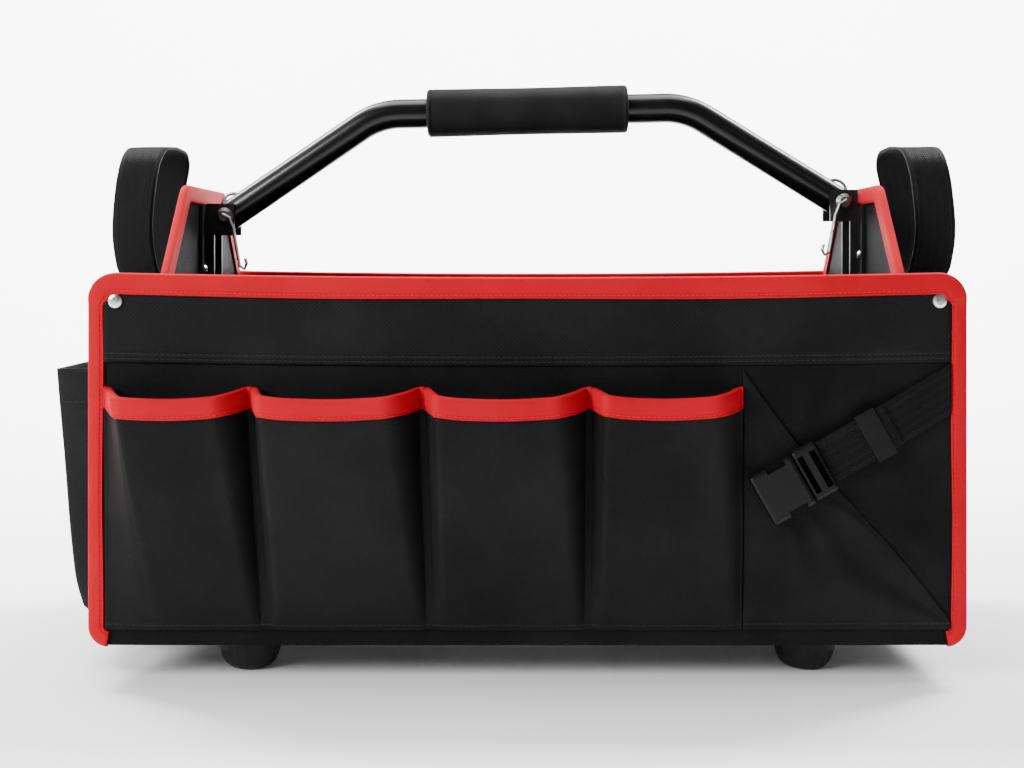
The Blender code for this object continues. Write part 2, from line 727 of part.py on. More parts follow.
def strap_frame(height, along):
    """Placement on the front, turned to the strap's slope: height outside the panel's face."""
    slope = math.radians(STRAP_SLOPE)
    x = BUCKLE_X + along * math.cos(slope)
    z = CLOTH_BOTTOM + BUCKLE_Z + along * math.sin(slope)
    spot = Vector((x, -face_y(x, z) - height, z))
    return Matrix.Translation(spot) @ Matrix.Rotation(-slope, 4, "Y")


def strap_height():
    """From the front panel's face to the middle of the strap's webbing, over the slanted pocket."""
    return 4 * GAP + CLOTH + WEB / 2


def make_strap(web):
    """The strap, its tail folded back over it, the keeper round both, and the buckle's anchor."""
    slope = math.radians(STRAP_SLOPE)
    direction = Vector((math.cos(slope), 0, math.sin(slope)))
    side = Vector((-math.sin(slope), 0, math.cos(slope)))
    edge = LENGTH / 2 - SIDE_TAPE - GAP

    def ribbon(start, end, lift):
        def surface(u, v):
            across = STRAP_WIDTH * (v - 0.5)
            along = blend(start, end, u)
            point = Vector((BUCKLE_X, 0, CLOTH_BOTTOM + BUCKLE_Z)) + direction * along + side * across
            point.y = -face_y(point.x, point.z) - strap_height() - lift(u)
            return point
        return surface

    under_male = FEMALE_LENGTH / 4 + MALE_LENGTH / 3
    past_buckle = FEMALE_LENGTH / 4 + MALE_LENGTH + 2 * GAP

    def strap_surface(u, v):
        across = STRAP_WIDTH * (v - 0.5)
        far = (edge - BUCKLE_X + across * math.sin(slope)) / math.cos(slope)
        along = blend(under_male, far, u)
        point = Vector((BUCKLE_X, 0, CLOTH_BOTTOM + BUCKLE_Z)) + direction * along + side * across
        point.y = -face_y(point.x, point.z) - strap_height()
        return point

    sheet("strap_web", strap_surface, 8, 2, WEB, web)
    tail = ribbon(past_buckle, TAIL_END, lambda u: WEB + GAP)
    sheet("strap_tail", tail, 5, 2, WEB, web)
    anchor = ribbon(-FEMALE_LENGTH * 0.72, -FEMALE_LENGTH * 0.1, lambda u: 0)
    sheet("strap_anchor", anchor, 3, 2, WEB, web)


def make_keeper(plastic):
    """Plastic keeper: a flat frame round the strap and its tail."""
    stack = 2 * WEB + GAP
    outer = (KEEPER_LENGTH, stack + 2 * (GAP + KEEPER_WALL), STRAP_WIDTH + 2 * KEEPER_SIDE)
    along = TAIL_END - KEEPER_LENGTH
    middle = strap_height() + (WEB + GAP) / 2
    place = strap_frame(middle, along)
    block = bmesh.new()
    bmesh.ops.create_cube(block, size=1, matrix=Matrix.Diagonal((*outer, 1)))
    mesh = bpy.data.meshes.new("strap_keeper")
    block.to_mesh(mesh)
    block.free()
    keeper = add_object("strap_keeper", mesh, plastic)
    keeper.matrix_world = place
    inner = (KEEPER_LENGTH * 2, stack + 2 * GAP, STRAP_WIDTH + 2 * GAP)
    cut(keeper, box_cutter("keeper_hole", inner, place))


def make_buckle(plastic):
    """Side-release buckle, closed: the female body and the male part with its strap bars."""
    base = strap_height() + WEB / 2 + GAP + BUCKLE_THICK / 2
    for name, start, length, thick in (
        ("buckle_female", -FEMALE_LENGTH * 0.75, FEMALE_LENGTH, BUCKLE_THICK),
        ("buckle_male", FEMALE_LENGTH * 0.25 + GAP, MALE_LENGTH, BUCKLE_THICK * 0.75),
    ):
        place = strap_frame(base - (BUCKLE_THICK - thick) / 2, start + length / 2)
        block = bmesh.new()
        bmesh.ops.create_cube(block, size=1, matrix=Matrix.Diagonal((length, thick, BUCKLE_WIDTH, 1)))
        mesh = bpy.data.meshes.new(name)
        block.to_mesh(mesh)
        block.free()
        body = add_object(name, mesh, plastic)
        body.matrix_world = place
        rounding = body.modifiers.new("Round", "BEVEL")
        rounding.width = BUCKLE_ROUNDING
        rounding.segments = 2
        window = (SLOT_WIDTH, thick * 2, BUCKLE_WIDTH - 2 * BUCKLE_RAIL)
        if name == "buckle_male":
            for index, along in enumerate((-length / 4, length / 4)):
                cut(body, box_cutter(f"strap_slot_{index}", window, place @ Matrix.Translation((along, 0, 0))))
        else:
            for index, across in enumerate((-1, 1)):
                notch = (length * 0.42, thick * 2, 2 * NOTCH_DEPTH)
                spot = Matrix.Translation((length * 0.1, 0, across * BUCKLE_WIDTH / 2))
                cut(body, box_cutter(f"release_notch_{index}", notch, place @ spot))


def handle_matrix():
    """Placement of the handle's own frame: X along its run, Z up, tilted, between the two ears."""
    middle = (EAR_REACH_RIGHT - EAR_REACH_LEFT) / 2
    return Matrix.Translation((middle, 0, RUN_HEIGHT)) @ Matrix.Rotation(-math.radians(HANDLE_TILT), 4, "Y")


def bolt_half_span():
    return (EAR_REACH_LEFT + EAR_REACH_RIGHT) / 2 - BOLT_INSET


def bolt_place(sign):
    """Middle of the bolt that holds one end of the tube."""
    return handle_matrix() @ Vector((sign * bolt_half_span(), 0, -LEG_DROP))


def handle_axis():
    """The tube's axis in the handle's frame: a straight run, a round bend at each end, straight legs."""
    slope = math.atan2(LEG_DROP, bolt_half_span() - HALF_RUN)
    tangent = BEND_RADIUS * math.tan(slope / 2)
    half = []
    for step in range(6):
        angle = slope * step / 5
        x = HALF_RUN - tangent + BEND_RADIUS * math.sin(angle)
        half.append((x, -BEND_RADIUS * (1 - math.cos(angle))))
    end = bolt_half_span() + TUBE_PAST_BOLT * math.cos(slope)
    half.append((end, -LEG_DROP - TUBE_PAST_BOLT * math.sin(slope)))
    return [(-x, z) for x, z in reversed(half)] + half


def make_handle(steel, foam):
    """Bent steel tube with a hole for each bolt, and the foam sleeve on its run."""
    frame = handle_matrix()
    points = [frame @ Vector((x, 0, z)) for x, z in handle_axis()]
    tube = as_mesh(wire("handle_tube", points, TUBE_DIAMETER, steel, sides=5))
    for name, sign in (("left", -1), ("right", 1)):
        place = Matrix.Translation(bolt_place(sign)) @ Matrix.Rotation(math.pi / 2, 4, "X")
        cut(tube, rod_cutter(f"tube_hole_{name}", BOLT_DIAMETER + 2 * GAP, TUBE_DIAMETER * 2, place))
    bore = TUBE_DIAMETER / 2 + GAP
    outer = GRIP_DIAMETER / 2
    half = GRIP_LENGTH / 2
    rounding = GRIP_ROUNDING
    profile = [(bore, half), (outer - rounding, half), (outer, half - rounding),
               (outer, -half + rounding), (outer - rounding, -half), (bore, -half), (bore, half)]
    place = frame @ Matrix.Translation((GRIP_SHIFT, 0, 0)) @ Matrix.Rotation(math.pi / 2, 4, "Y")
    turned("handle_grip", profile, 24, foam, place)


def make_bracket(name, sign, steel):
    """Pressed steel bracket: a plate on the ear's inner face with two cheeks that hold the tube."""
    bolt = bolt_place(sign)
    top = bolt.z + BRACKET_ABOVE_BOLT
    face = ear_reach(sign) - WALL / 2 - GAP
    cheek = TUBE_DIAMETER / 2 + GAP + CURVE_EASE
    half = BRACKET_WIDTH / 2
    inner = face - BRACKET_WALL
    outline = [(face, -half), (face, half), (inner, half), (inner, cheek + BRACKET_WALL),
               (face - CHEEK_REACH, cheek + BRACKET_WALL), (face - CHEEK_REACH, cheek), (inner, cheek),
               (inner, -cheek), (face - CHEEK_REACH, -cheek), (face - CHEEK_REACH, -cheek - BRACKET_WALL),
               (inner, -cheek - BRACKET_WALL), (inner, -half)]
    curve = bpy.data.curves.new(name, "CURVE")
    curve.dimensions = "2D"
    curve.fill_mode = "BOTH"
    curve.extrude = (top - BRACKET_BOTTOM) / 2
    spline = curve.splines.new("POLY")
    spline.points.add(len(outline) - 1)
    for target, (x, y) in zip(spline.points, outline):
        target.co = (sign * x, y, 0, 1)
    spline.use_cyclic_u = True
    piece = add_object(name, curve, steel)
    piece.location.z = (top + BRACKET_BOTTOM) / 2
    bracket = as_mesh(piece)
    hole = Matrix.Translation(bolt) @ Matrix.Rotation(math.pi / 2, 4, "X")
    cut(bracket, rod_cutter(f"{name}_hole", BOLT_DIAMETER + 2 * GAP, BRACKET_WIDTH * 2, hole))
    lower = (CHEEK_REACH, 2 * BRACKET_WIDTH, top - BRACKET_BOTTOM)
    below = Matrix.Translation((sign * (inner - GAP - CHEEK_REACH / 2 - CHEEK_RIB), 0,
                                bolt.z - CHEEK_BELOW_BOLT - (top - BRACKET_BOTTOM) / 2))
    cut(bracket, box_cutter(f"{name}_relief", lower, below))
    plate_top = EAR_TOP - EAR_TAPE - 2 * GAP
    spare = (2 * BRACKET_WALL, BRACKET_WIDTH * 2, top)
    above = Matrix.Translation((sign * (inner - GAP + spare[0] / 2), 0, plate_top + spare[2] / 2))
    cut(bracket, box_cutter(f"{name}_top", spare, above))


def make_bolt(name, sign, chrome):
    """Cross bolt with a low head at each end."""
    cheek = TUBE_DIAMETER / 2 + 2 * GAP + BRACKET_WALL + RIVET_EASE
    shank = BOLT_DIAMETER / 2
    head = BOLT_HEAD / 2
    end = cheek + BOLT_HEAD_HEIGHT
    profile = [(0, end), (head * 0.6, end), (head, cheek + BOLT_HEAD_HEIGHT * 0.4), (head, cheek),
               (shank, cheek), (shank, -cheek), (head, -cheek), (head, -cheek - BOLT_HEAD_HEIGHT * 0.4),
               (head * 0.6, -end), (0, -end)]
    place = Matrix.Translation(bolt_place(sign)) @ Matrix.Rotation(math.pi / 2, 4, "X")
    turned(name, profile, 16, chrome, place)


def make_pull_ring(name, sign, chrome):
    """Wire ring behind the tube's end, standing on the bolt's back head."""
    bolt = bolt_place(sign)
    radius = (RING_DIAMETER - RING_WIRE) / 2
    back = TUBE_DIAMETER / 2 + 3 * GAP + BRACKET_WALL + BOLT_HEAD_HEIGHT + RING_WIRE / 2
    centre = bolt + Vector((0, back, radius))
    points = []
    for step in range(18):
        angle = math.tau * step / 18
        points.append(centre + Vector((radius * math.cos(angle), 0, radius * math.sin(angle))))
    wire(name, points, RING_WIRE, chrome, closed=True)


def make_clip(name, sign, chrome):
    """Wire clip that hangs from the bolt's front head down the inner side of the bracket."""
    bolt = bolt_place(sign)
    front = -(TUBE_DIAMETER / 2 + 3 * GAP + BRACKET_WALL + BOLT_HEAD_HEIGHT + CLIP_WIRE / 2)
    route = ((-1.0, 0.03), (4.0, -0.05), (6.5, -0.25), (8.5, -0.6), (10.5, -0.94), (13.5, -1.0), (15.0, -0.9),
             (14.0, -0.8))
    points = [bolt + Vector((-sign * x * MM, front, z * CLIP_LENGTH)) for x, z in route]
    wire(name, points, CLIP_WIRE, chrome)


def make_plate_rivets(name, sign, chrome):
    """Two rivets that hold a bracket's plate to the ear."""
    bolt = bolt_place(sign)
    face = ear_reach(sign) - WALL / 2 - 2 * GAP - BRACKET_WALL
    head = PLATE_RIVET / 2
    profile = [(0, RIVET_HEIGHT), (head * 0.6, RIVET_HEIGHT), (head, RIVET_HEIGHT * 0.35), (head, 0), (0, 0)]
    for hand, side in (("front", -1), ("back", 1)):
        spot = Vector((sign * face, side * (BRACKET_WIDTH / 2 - head - PLATE_RIVET_EDGE), bolt.z - PLATE_RIVET_DROP))
        place = Matrix.Translation(spot) @ Matrix.Rotation(-sign * math.pi / 2, 4, "Y")
        turned(f"{name}_{hand}", profile, 12, chrome, place)


def make_front_rivets(chrome):
    """Domed rivets in the front's top corners."""
    head = RIVET_HEAD / 2
    profile = [(0, RIVET_HEIGHT), (head * 0.55, RIVET_HEIGHT * 0.9), (head * 0.9, RIVET_HEIGHT * 0.5),
               (head, 0), (0, 0)]
    z = CLOTH_BOTTOM + PANEL_HEIGHT - RIVET_DROP
    for name, sign in (("rivet_front_left", -1), ("rivet_front_right", 1)):
        spot = front_stack(2 * GAP + BAND_WALL + RIVET_EASE)(sign * RIVET_X, z)
        place = Matrix.Translation(spot) @ Matrix.Rotation(math.pi / 2, 4, "X")
        turned(name, profile, 16, chrome, place)


def make_feet(rubber):
    """Domed feet with a flat underside, below the floor's corners."""
    top = CLOTH_BOTTOM - GAP
    wide = FOOT_DIAMETER / 2
    flat = FOOT_FLAT / 2
    profile = [(0, top), (wide * 0.97, top)]
    for step in range(6):
        angle = math.radians(90 * step / 5)
        profile.append((flat + (wide - flat) * math.cos(angle), top * 0.8 * (1 - math.sin(angle))))
    profile.append((0, 0))
    for depth_name, y in (("front", -FOOT_Y), ("back", FOOT_Y)):
        for hand, x in (("left", -FOOT_X), ("right", FOOT_X)):
            turned(f"foot_{depth_name}_{hand}", profile, 20, rubber, Matrix.Translation((x, y, 0)))


def finished_box(axis):
    """Lowest and highest place of the whole bag along one axis, on its finished meshes."""
    graph = bpy.context.evaluated_depsgraph_get()
    places = []
    for piece in BAG.objects:
        evaluated = piece.evaluated_get(graph)
        corners = [(piece.matrix_world @ vertex.co)[axis] for vertex in evaluated.to_mesh().vertices]
        evaluated.to_mesh_clear()
        places += [min(corners), max(corners)]
    return min(places), max(places)


def centre_on_footprint():
    """Moves the whole bag level so that the middle of its box stands over the origin."""
    bpy.context.view_layer.update()
    shift = Matrix.Translation((-sum(finished_box(0)) / 2, -sum(finished_box(1)) / 2, 0))
    for piece in list(BAG.objects) + list(CUTTERS.objects):
        piece.matrix_world = shift @ piece.matrix_world


def main():
    for piece in list(bpy.data.objects):
        bpy.data.objects.remove(piece)
    for collection in (BAG, CUTTERS):
        bpy.context.scene.collection.children.link(collection)
    cloth = material("black_cloth", (0.013, 0.013, 0.014), 0.85)
    tape = material("red_tape", (0.75, 0.02, 0.025), 0.7)
    web = material("black_webbing", (0.012, 0.012, 0.013), 0.8)
    plastic = material("black_plastic", (0.012, 0.012, 0.012), 0.45)
    steel = material("black_steel", (0.010, 0.010, 0.011), 0.25)
    foam = material("black_foam", (0.014, 0.014, 0.014), 0.95)
    rubber = material("black_rubber", (0.010, 0.010, 0.010), 0.6)
    chrome = material("nickel", (0.75, 0.75, 0.74), 0.2, 1.0)
    make_long_panels(cloth)
    make_end_panels(cloth)
    make_base_panel(cloth)
    make_top_band(cloth)
    make_pockets(cloth, tape)
    make_slant_pocket(cloth)
    make_side_pocket(cloth)
    make_panel_bindings(tape)
    make_ear_bindings(tape)
    make_hand_loops(web)
    make_strap(web)
    make_keeper(plastic)
    make_buckle(plastic)
    make_handle(steel, foam)
    for hand, sign in (("left", -1), ("right", 1)):
        make_bracket(f"bracket_{hand}", sign, steel)
        make_bolt(f"pivot_bolt_{hand}", sign, chrome)
        make_pull_ring(f"ring_{hand}", sign, chrome)
        make_clip(f"clip_{hand}", sign, chrome)
        make_plate_rivets(f"bracket_rivet_{hand}", sign, chrome)
    make_front_rivets(chrome)
    make_feet(rubber)
    centre_on_footprint()


main()
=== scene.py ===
import math

import bpy
import numpy as np
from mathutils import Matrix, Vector


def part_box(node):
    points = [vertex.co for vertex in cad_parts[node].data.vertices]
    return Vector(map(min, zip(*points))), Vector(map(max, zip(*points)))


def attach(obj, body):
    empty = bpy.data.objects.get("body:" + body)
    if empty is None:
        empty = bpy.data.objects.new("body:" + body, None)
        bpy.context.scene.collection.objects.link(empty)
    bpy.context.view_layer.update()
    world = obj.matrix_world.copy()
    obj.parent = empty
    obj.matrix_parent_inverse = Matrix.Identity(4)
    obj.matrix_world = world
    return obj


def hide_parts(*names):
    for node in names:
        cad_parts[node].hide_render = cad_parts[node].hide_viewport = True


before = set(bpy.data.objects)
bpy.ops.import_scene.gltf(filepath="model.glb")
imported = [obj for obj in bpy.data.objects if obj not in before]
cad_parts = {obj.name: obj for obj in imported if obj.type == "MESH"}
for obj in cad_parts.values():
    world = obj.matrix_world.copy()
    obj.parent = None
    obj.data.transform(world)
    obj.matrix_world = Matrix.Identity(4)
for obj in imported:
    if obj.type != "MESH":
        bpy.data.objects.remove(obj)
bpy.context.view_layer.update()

# Long walls. The front and back of the shell are stiffened woven cloth, cut with round
# corners and a sagging rim, and they belly out a little between their sewn edges.
MM = 0.001
WALL = 2.4 * MM
GAP = 0.3 * MM
LENGTH = 500 * MM
DEPTH = 220 * MM
CLOTH_BOTTOM = 21 * MM
PANEL_HEIGHT = 212 * MM
RIM = CLOTH_BOTTOM + PANEL_HEIGHT
RIM_SAG = 3 * MM
PANEL_BELLY = 4 * MM
LOW_CORNER = 11 * MM
HIGH_CORNER = 15 * MM
THREAD = 1.05 * MM
CLOTH_GLOSS = 0.34

# Every length below is measured from the middle of the shell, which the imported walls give.
front_low, front_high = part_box("front_panel")
back_low, back_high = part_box("back_panel")
SHELL_MIDDLE = np.array([
    (front_low[0] + front_high[0]) / 2,
    (front_low[1] + back_high[1]) / 2,
    0,
])


def lerp(a, b, share):
    """Straight blend: a at share 0 and b at share 1."""
    return a + (b - a) * share


def ease(share):
    """Smooth step: 3 s squared minus 2 s cubed, held at 0 and 1 outside."""
    s = np.clip(share, 0, 1)
    return s * s * (3 - 2 * s)


def unit_grid(columns, rows):
    """u across and v up, both 0 to 1, as arrays with one row for each v."""
    return np.meshgrid(np.linspace(0, 1, columns), np.linspace(0, 1, rows))


def outwards(points):
    """Unit normal of a grid: the step across crossed with the step up."""
    normal = np.cross(np.gradient(points, axis=1), np.gradient(points, axis=0))
    return normal / np.maximum(np.linalg.norm(normal, axis=2, keepdims=True), 1e-12)


def put_mesh(name, points, faces, flat_map, finish):
    """A mesh object at the origin from points in metres about the shell's middle."""
    mesh = bpy.data.meshes.new(name)
    mesh.from_pydata((points + SHELL_MIDDLE).tolist(), [], faces)
    mesh.polygons.foreach_set("use_smooth", np.full(len(faces), True))
    layer = mesh.uv_layers.new(name="cut")
    corners = np.empty(len(mesh.loops), dtype=np.int32)
    mesh.loops.foreach_get("vertex_index", corners)
    layer.data.foreach_set("uv", flat_map[corners].astype(np.float32).ravel())
    mesh.materials.append(finish)
    mesh.update()
    piece = bpy.data.objects.new(name, mesh)
    bpy.context.scene.collection.objects.link(piece)
    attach(piece, "root")
    return piece


def lengths(points, axis):
    """Running length along a grid axis, averaged over the other one, in metres."""
    steps = np.linalg.norm(np.diff(points, axis=axis), axis=2).mean(axis=1 - axis)
    return np.concatenate([[0], np.cumsum(steps)])


def grid_faces(index):
    """Four-cornered faces between neighbours of a grid of point numbers."""
    corners = [index[:-1, :-1], index[:-1, 1:], index[1:, 1:], index[1:, :-1]]
    return np.stack(corners, axis=-1).reshape(-1, 4)


def make_cloth(name, points, thickness, finish, replaces, flat=None):
    """A closed sheet of even thickness: a grid of points, the same grid moved in along its
    normals, and a strip of faces round the edge. Its flat map is its lengths across and up,
    unless another one is given."""
    inner = points - outwards(points) * thickness
    both = np.concatenate([points.reshape(-1, 3), inner.reshape(-1, 3)])
    index = np.arange(points[..., 0].size).reshape(points.shape[:2])
    outside = grid_faces(index)
    inside = outside[:, ::-1] + index.size
    edges = [(index[0, 1:], index[0, :-1]), (index[-1, :-1], index[-1, 1:]),
             (index[:-1, 0], index[1:, 0]), (index[1:, -1], index[:-1, -1])]
    rims = [np.stack([a, b, b + index.size, a + index.size], axis=-1) for a, b in edges]
    if flat is None:
        flat = np.stack(np.meshgrid(lengths(points, 1), lengths(points, 0)), axis=-1)
    flat = flat.reshape(-1, 2)
    faces = np.concatenate([outside, inside] + rims).tolist()
    piece = put_mesh(name, both, faces, np.concatenate([flat, flat]), finish)
    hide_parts(*replaces)
    return piece


class Socket:
    """A shader socket with arithmetic: each operator adds one Math node."""

    def __init__(self, paint, source):
        self.paint = paint
        self.source = source

    def maths(self, operation, *values):
        return self.paint.node("ShaderNodeMath", {"operation": operation}, values).out()

    def __add__(self, other):
        return self.maths("ADD", self, other)

    def __sub__(self, other):
        return self.maths("SUBTRACT", self, other)

    def __mul__(self, other):
        return self.maths("MULTIPLY", self, other)

    def __truediv__(self, other):
        return self.maths("DIVIDE", self, other)

    def __rsub__(self, other):
        return self.maths("SUBTRACT", other, self)

    __radd__ = __add__
    __rmul__ = __mul__

    def wave(self):
        return self.maths("SINE", self)

    def part(self):
        """The fraction left above the whole number below it."""
        return self.maths("FRACT", self)

    def size(self):
        return self.maths("ABSOLUTE", self)

    def held(self, low, high):
        """Spread low to high over 0 to 1, smoothly and held at both ends."""
        settings = {"interpolation_type": "SMOOTHSTEP"}
        return self.paint.node("ShaderNodeMapRange", settings, (self, low, high, 0.0, 1.0)).out()


class Paint:
    """A material's nodes: every node is added by one method."""

    def __init__(self, name):
        self.material = bpy.data.materials.new(name)
        self.material.use_nodes = True
        self.tree = self.material.node_tree
        self.shader = self.tree.nodes["Principled BSDF"]
        self.latest = None

    def node(self, kind, settings, inputs):
        """Add a node: its settings first, then its sockets by order or by name."""
        self.latest = self.tree.nodes.new(kind)
        for key, value in settings.items():
            setattr(self.latest, key, value)
        named = inputs.items() if isinstance(inputs, dict) else enumerate(inputs)
        for key, value in named:
            self.join(self.latest.inputs[key], value)
        return self

    def join(self, target, value):
        """Link a socket to the target, or set a plain value there."""
        if isinstance(value, Socket):
            self.tree.links.new(value.source, target)
        else:
            target.default_value = value

    def out(self, key=0):
        return Socket(self, self.latest.outputs[key])

    def cut_map(self):
        """Across and up on the cut cloth, in metres."""
        place = self.node("ShaderNodeUVMap", {"uv_map": "cut"}, ()).out()
        self.node("ShaderNodeSeparateXYZ", {}, (place,))
        return self.out(0), self.out(1)

    def object_place(self):
        return self.node("ShaderNodeTexCoord", {}, ()).out("Object")

    def noise(self, place, scale, detail=2.0, rough=0.5):
        values = {"Vector": place, "Scale": scale, "Detail": detail, "Roughness": rough}
        return self.node("ShaderNodeTexNoise", {}, values).out("Fac")

    def mix(self, factor, first, second):
        """Colour mix: first at factor 0 and second at factor 1."""
        self.node("ShaderNodeMix", {"data_type": "RGBA"}, {"Factor": factor})
        self.join(self.latest.inputs[6], first)
        self.join(self.latest.inputs[7], second)
        return self.out(2)

    def bump(self, height, depth, strength=1.0, under=None):
        """Normal of a height, depth metres deep at height 1, over the normal under it."""
        values = {"Height": height, "Distance": depth, "Strength": strength}
        if under is not None:
            values["Normal"] = under
        return self.node("ShaderNodeBump", {}, values).out()

    def finish(self, **sockets):
        """Set the shader's sockets by name, with spaces written as underscores."""
        for key, value in sockets.items():
            self.join(self.shader.inputs[key.replace("_", " ")], value)
        return self.material


def grey(value):
    return (value, value, value, 1.0)


def weave_paint(name, dark, light, thread):
    """Plain weave on the cut map: warp and weft are sine waves two threads long. Each thread
    passes over the other in turn, so the height is 0.6 of the size of warp times weft plus
    0.4 of warp times weft. Slubs and wear vary its shade between dark and light."""
    paint = Paint(name)
    across, up = paint.cut_map()
    place = paint.object_place()
    turn = math.pi / thread
    warp = (across * turn).wave()
    weft = (up * turn).wave()
    over = warp * weft
    threads = over.size() * 0.6 + over * 0.4
    slub = paint.noise(place, 900.0, 2.0, 0.6)
    wear = paint.noise(place, 14.0, 3.0, 0.55)
    fold = paint.noise(place, 55.0, 2.0, 0.5)
    shade = (threads * 0.5 + slub * 0.5).held(0.15, 0.85) * 0.65 + wear.held(0.35, 0.7) * 0.35
    colour = paint.mix(shade, grey(dark), grey(light))
    soft = paint.bump(fold, 0.0011, 0.55)
    normal = paint.bump(threads + slub * 0.5, thread * 0.16, 0.7, soft)
    paint.finish(Base_Color=colour, Roughness=1 - (CLOTH_GLOSS + shade * 0.12), Normal=normal)
    return paint


def cloth_finish(name, dark, light):
    """The bare weave, with a low gloss and a faint sheen."""
    paint = weave_paint(name, dark, light, THREAD)
    return paint.finish(Specular_IOR_Level=0.05, Sheen_Weight=0.01, Sheen_Roughness=0.45)


shell_cloth = cloth_finish("shell_cloth", 0.0022, 0.0110)
lining_cloth = cloth_finish("lining_cloth", 0.0020, 0.0080)


def rim_drop(x):
    """The rim hangs lowest at the middle: the sag times 1 minus the square of x over half
    the length."""
    return RIM_SAG * (1 - np.minimum((2 * x / LENGTH) ** 2, 1))


def face_y(x, z):
    """Half the depth, plus the belly: a parabola across times half a sine wave up."""
    across = 1 - np.minimum((2 * x / LENGTH) ** 2, 1)
    up = np.sin(np.pi * np.clip((z - CLOTH_BOTTOM) / PANEL_HEIGHT, 0, 1))
    return DEPTH / 2 + PANEL_BELLY * across * up


def on_front(x, z, out):
    """Points this far outside the front wall's face, lowered with the sagging rim."""
    share = np.clip((z - CLOTH_BOTTOM) / PANEL_HEIGHT, 0, 1)
    return np.stack([x, -face_y(x, z) - out, z - rim_drop(x) * share], axis=-1)


def half_width(z):
    """Half the wall's width at z: straight sides and a quarter circle at each corner."""
    low = np.clip(LOW_CORNER - (z - CLOTH_BOTTOM), 0, LOW_CORNER)
    high = np.clip(HIGH_CORNER - (RIM - z), 0, HIGH_CORNER)
    cut_low = LOW_CORNER - np.sqrt(LOW_CORNER**2 - low**2)
    cut_high = HIGH_CORNER - np.sqrt(HIGH_CORNER**2 - high**2)
    return LENGTH / 2 - cut_low - cut_high


def wall_rows(count):
    """Heights that crowd towards both corners: a half cosine from the bottom to the rim."""
    share = (1 - np.cos(np.pi * np.linspace(0, 1, count))) / 2
    return CLOTH_BOTTOM + PANEL_HEIGHT * share


BUCKLE_X = 149 * MM
BUCKLE_Z = CLOTH_BOTTOM + 94 * MM
STRAP_SLOPE = math.radians(29.6)
# Angle in degrees, half width in degrees and share of the fold height, for each fold.
FOLDS = [
    (49, 9, 1.1), (76, 7, 0.5), (118, 9, 0.5),
    (-28, 7, 0.7), (-58, 9, 1.0), (-84, 8, 0.7), (-118, 8, 0.5),
]
FOLD_HEIGHT = 2.1 * MM
FLAT_BY_STRAP = 12 * MM
STRAP_FADE = 9 * MM
BUCKLE_FADE = 28 * MM
FOLD_REACH = 60 * MM
FOLD_FADE = 50 * MM


def pull_folds(x, z):
    """Height of the folds that the pulled strap throws out from its buckle: a bell across each
    fold's angle, flat under the strap and near the buckle, and dying out further away."""
    right, up = x - BUCKLE_X, z - BUCKLE_Z
    reach = np.hypot(right, up)
    angle = np.degrees(np.arctan2(up, right))
    height = sum(rise * np.exp(-(((angle - at) / wide) ** 2)) for at, wide, rise in FOLDS)
    off_strap = np.abs(up * math.cos(STRAP_SLOPE) - right * math.sin(STRAP_SLOPE))
    past_strap = ease((off_strap - FLAT_BY_STRAP) / STRAP_FADE)
    past_buckle = ease((reach - FLAT_BY_STRAP) / BUCKLE_FADE)
    within = 1 - ease((reach - FOLD_REACH) / FOLD_FADE)
    return FOLD_HEIGHT * height * past_strap * past_buckle * within


def long_wall():
    """The front wall's outer face: x runs between the rounded sides at each height."""
    columns, rows = 201, 81
    u, _ = unit_grid(columns, rows)
    z = np.repeat(wall_rows(rows)[:, None], columns, axis=1)
    return on_front((2 * u - 1) * half_width(z), z, 0)


# The wall takes part of the folds where it is bare: past the slanted mouth, under the top
# band and short of the right-hand binding, and fading in over a few millimetres from each.
MOUTH_ANGLE = math.radians(38)
BARE_TOP = RIM - 53 * MM
BARE_RIGHT = LENGTH / 2 - 10 * MM
BARE_FADE = 14 * MM
BARE_TOP_FADE = 12 * MM
WALL_FOLD_SHARE = 0.7
front_wall = long_wall()
x, _, z = np.moveaxis(front_wall, -1, 0)
past_mouth = (x - BUCKLE_X) * math.cos(MOUTH_ANGLE) + (z - BUCKLE_Z) * math.sin(MOUTH_ANGLE)
bare = ease(past_mouth / BARE_FADE) * ease((BARE_TOP - z) / BARE_TOP_FADE)
bare = bare * ease((BARE_RIGHT - x) / BARE_FADE)
front_wall[..., 1] -= WALL_FOLD_SHARE * pull_folds(x, z) * bare
back_wall = long_wall()[:, ::-1] * np.array([1, -1, 1])
make_cloth("front_wall", front_wall, WALL, shell_cloth, ["front_panel"])
make_cloth("back_wall", back_wall, WALL, shell_cloth, ["back_panel"])

# Floor. A stiff board wrapped in the same black cloth, sewn in between the four walls along
# their lower edges.
FLOOR_X = 242.3 * MM
FLOOR_Y = 107.3 * MM
u, v = unit_grid(41, 21)
floor_z = 0 * u + CLOTH_BOTTOM + WALL
floor_top = np.stack([(2 * u - 1) * FLOOR_X, (2 * v - 1) * FLOOR_Y, floor_z], axis=-1)
make_cloth("floor", floor_top, WALL, lining_cloth, ["base_panel"])

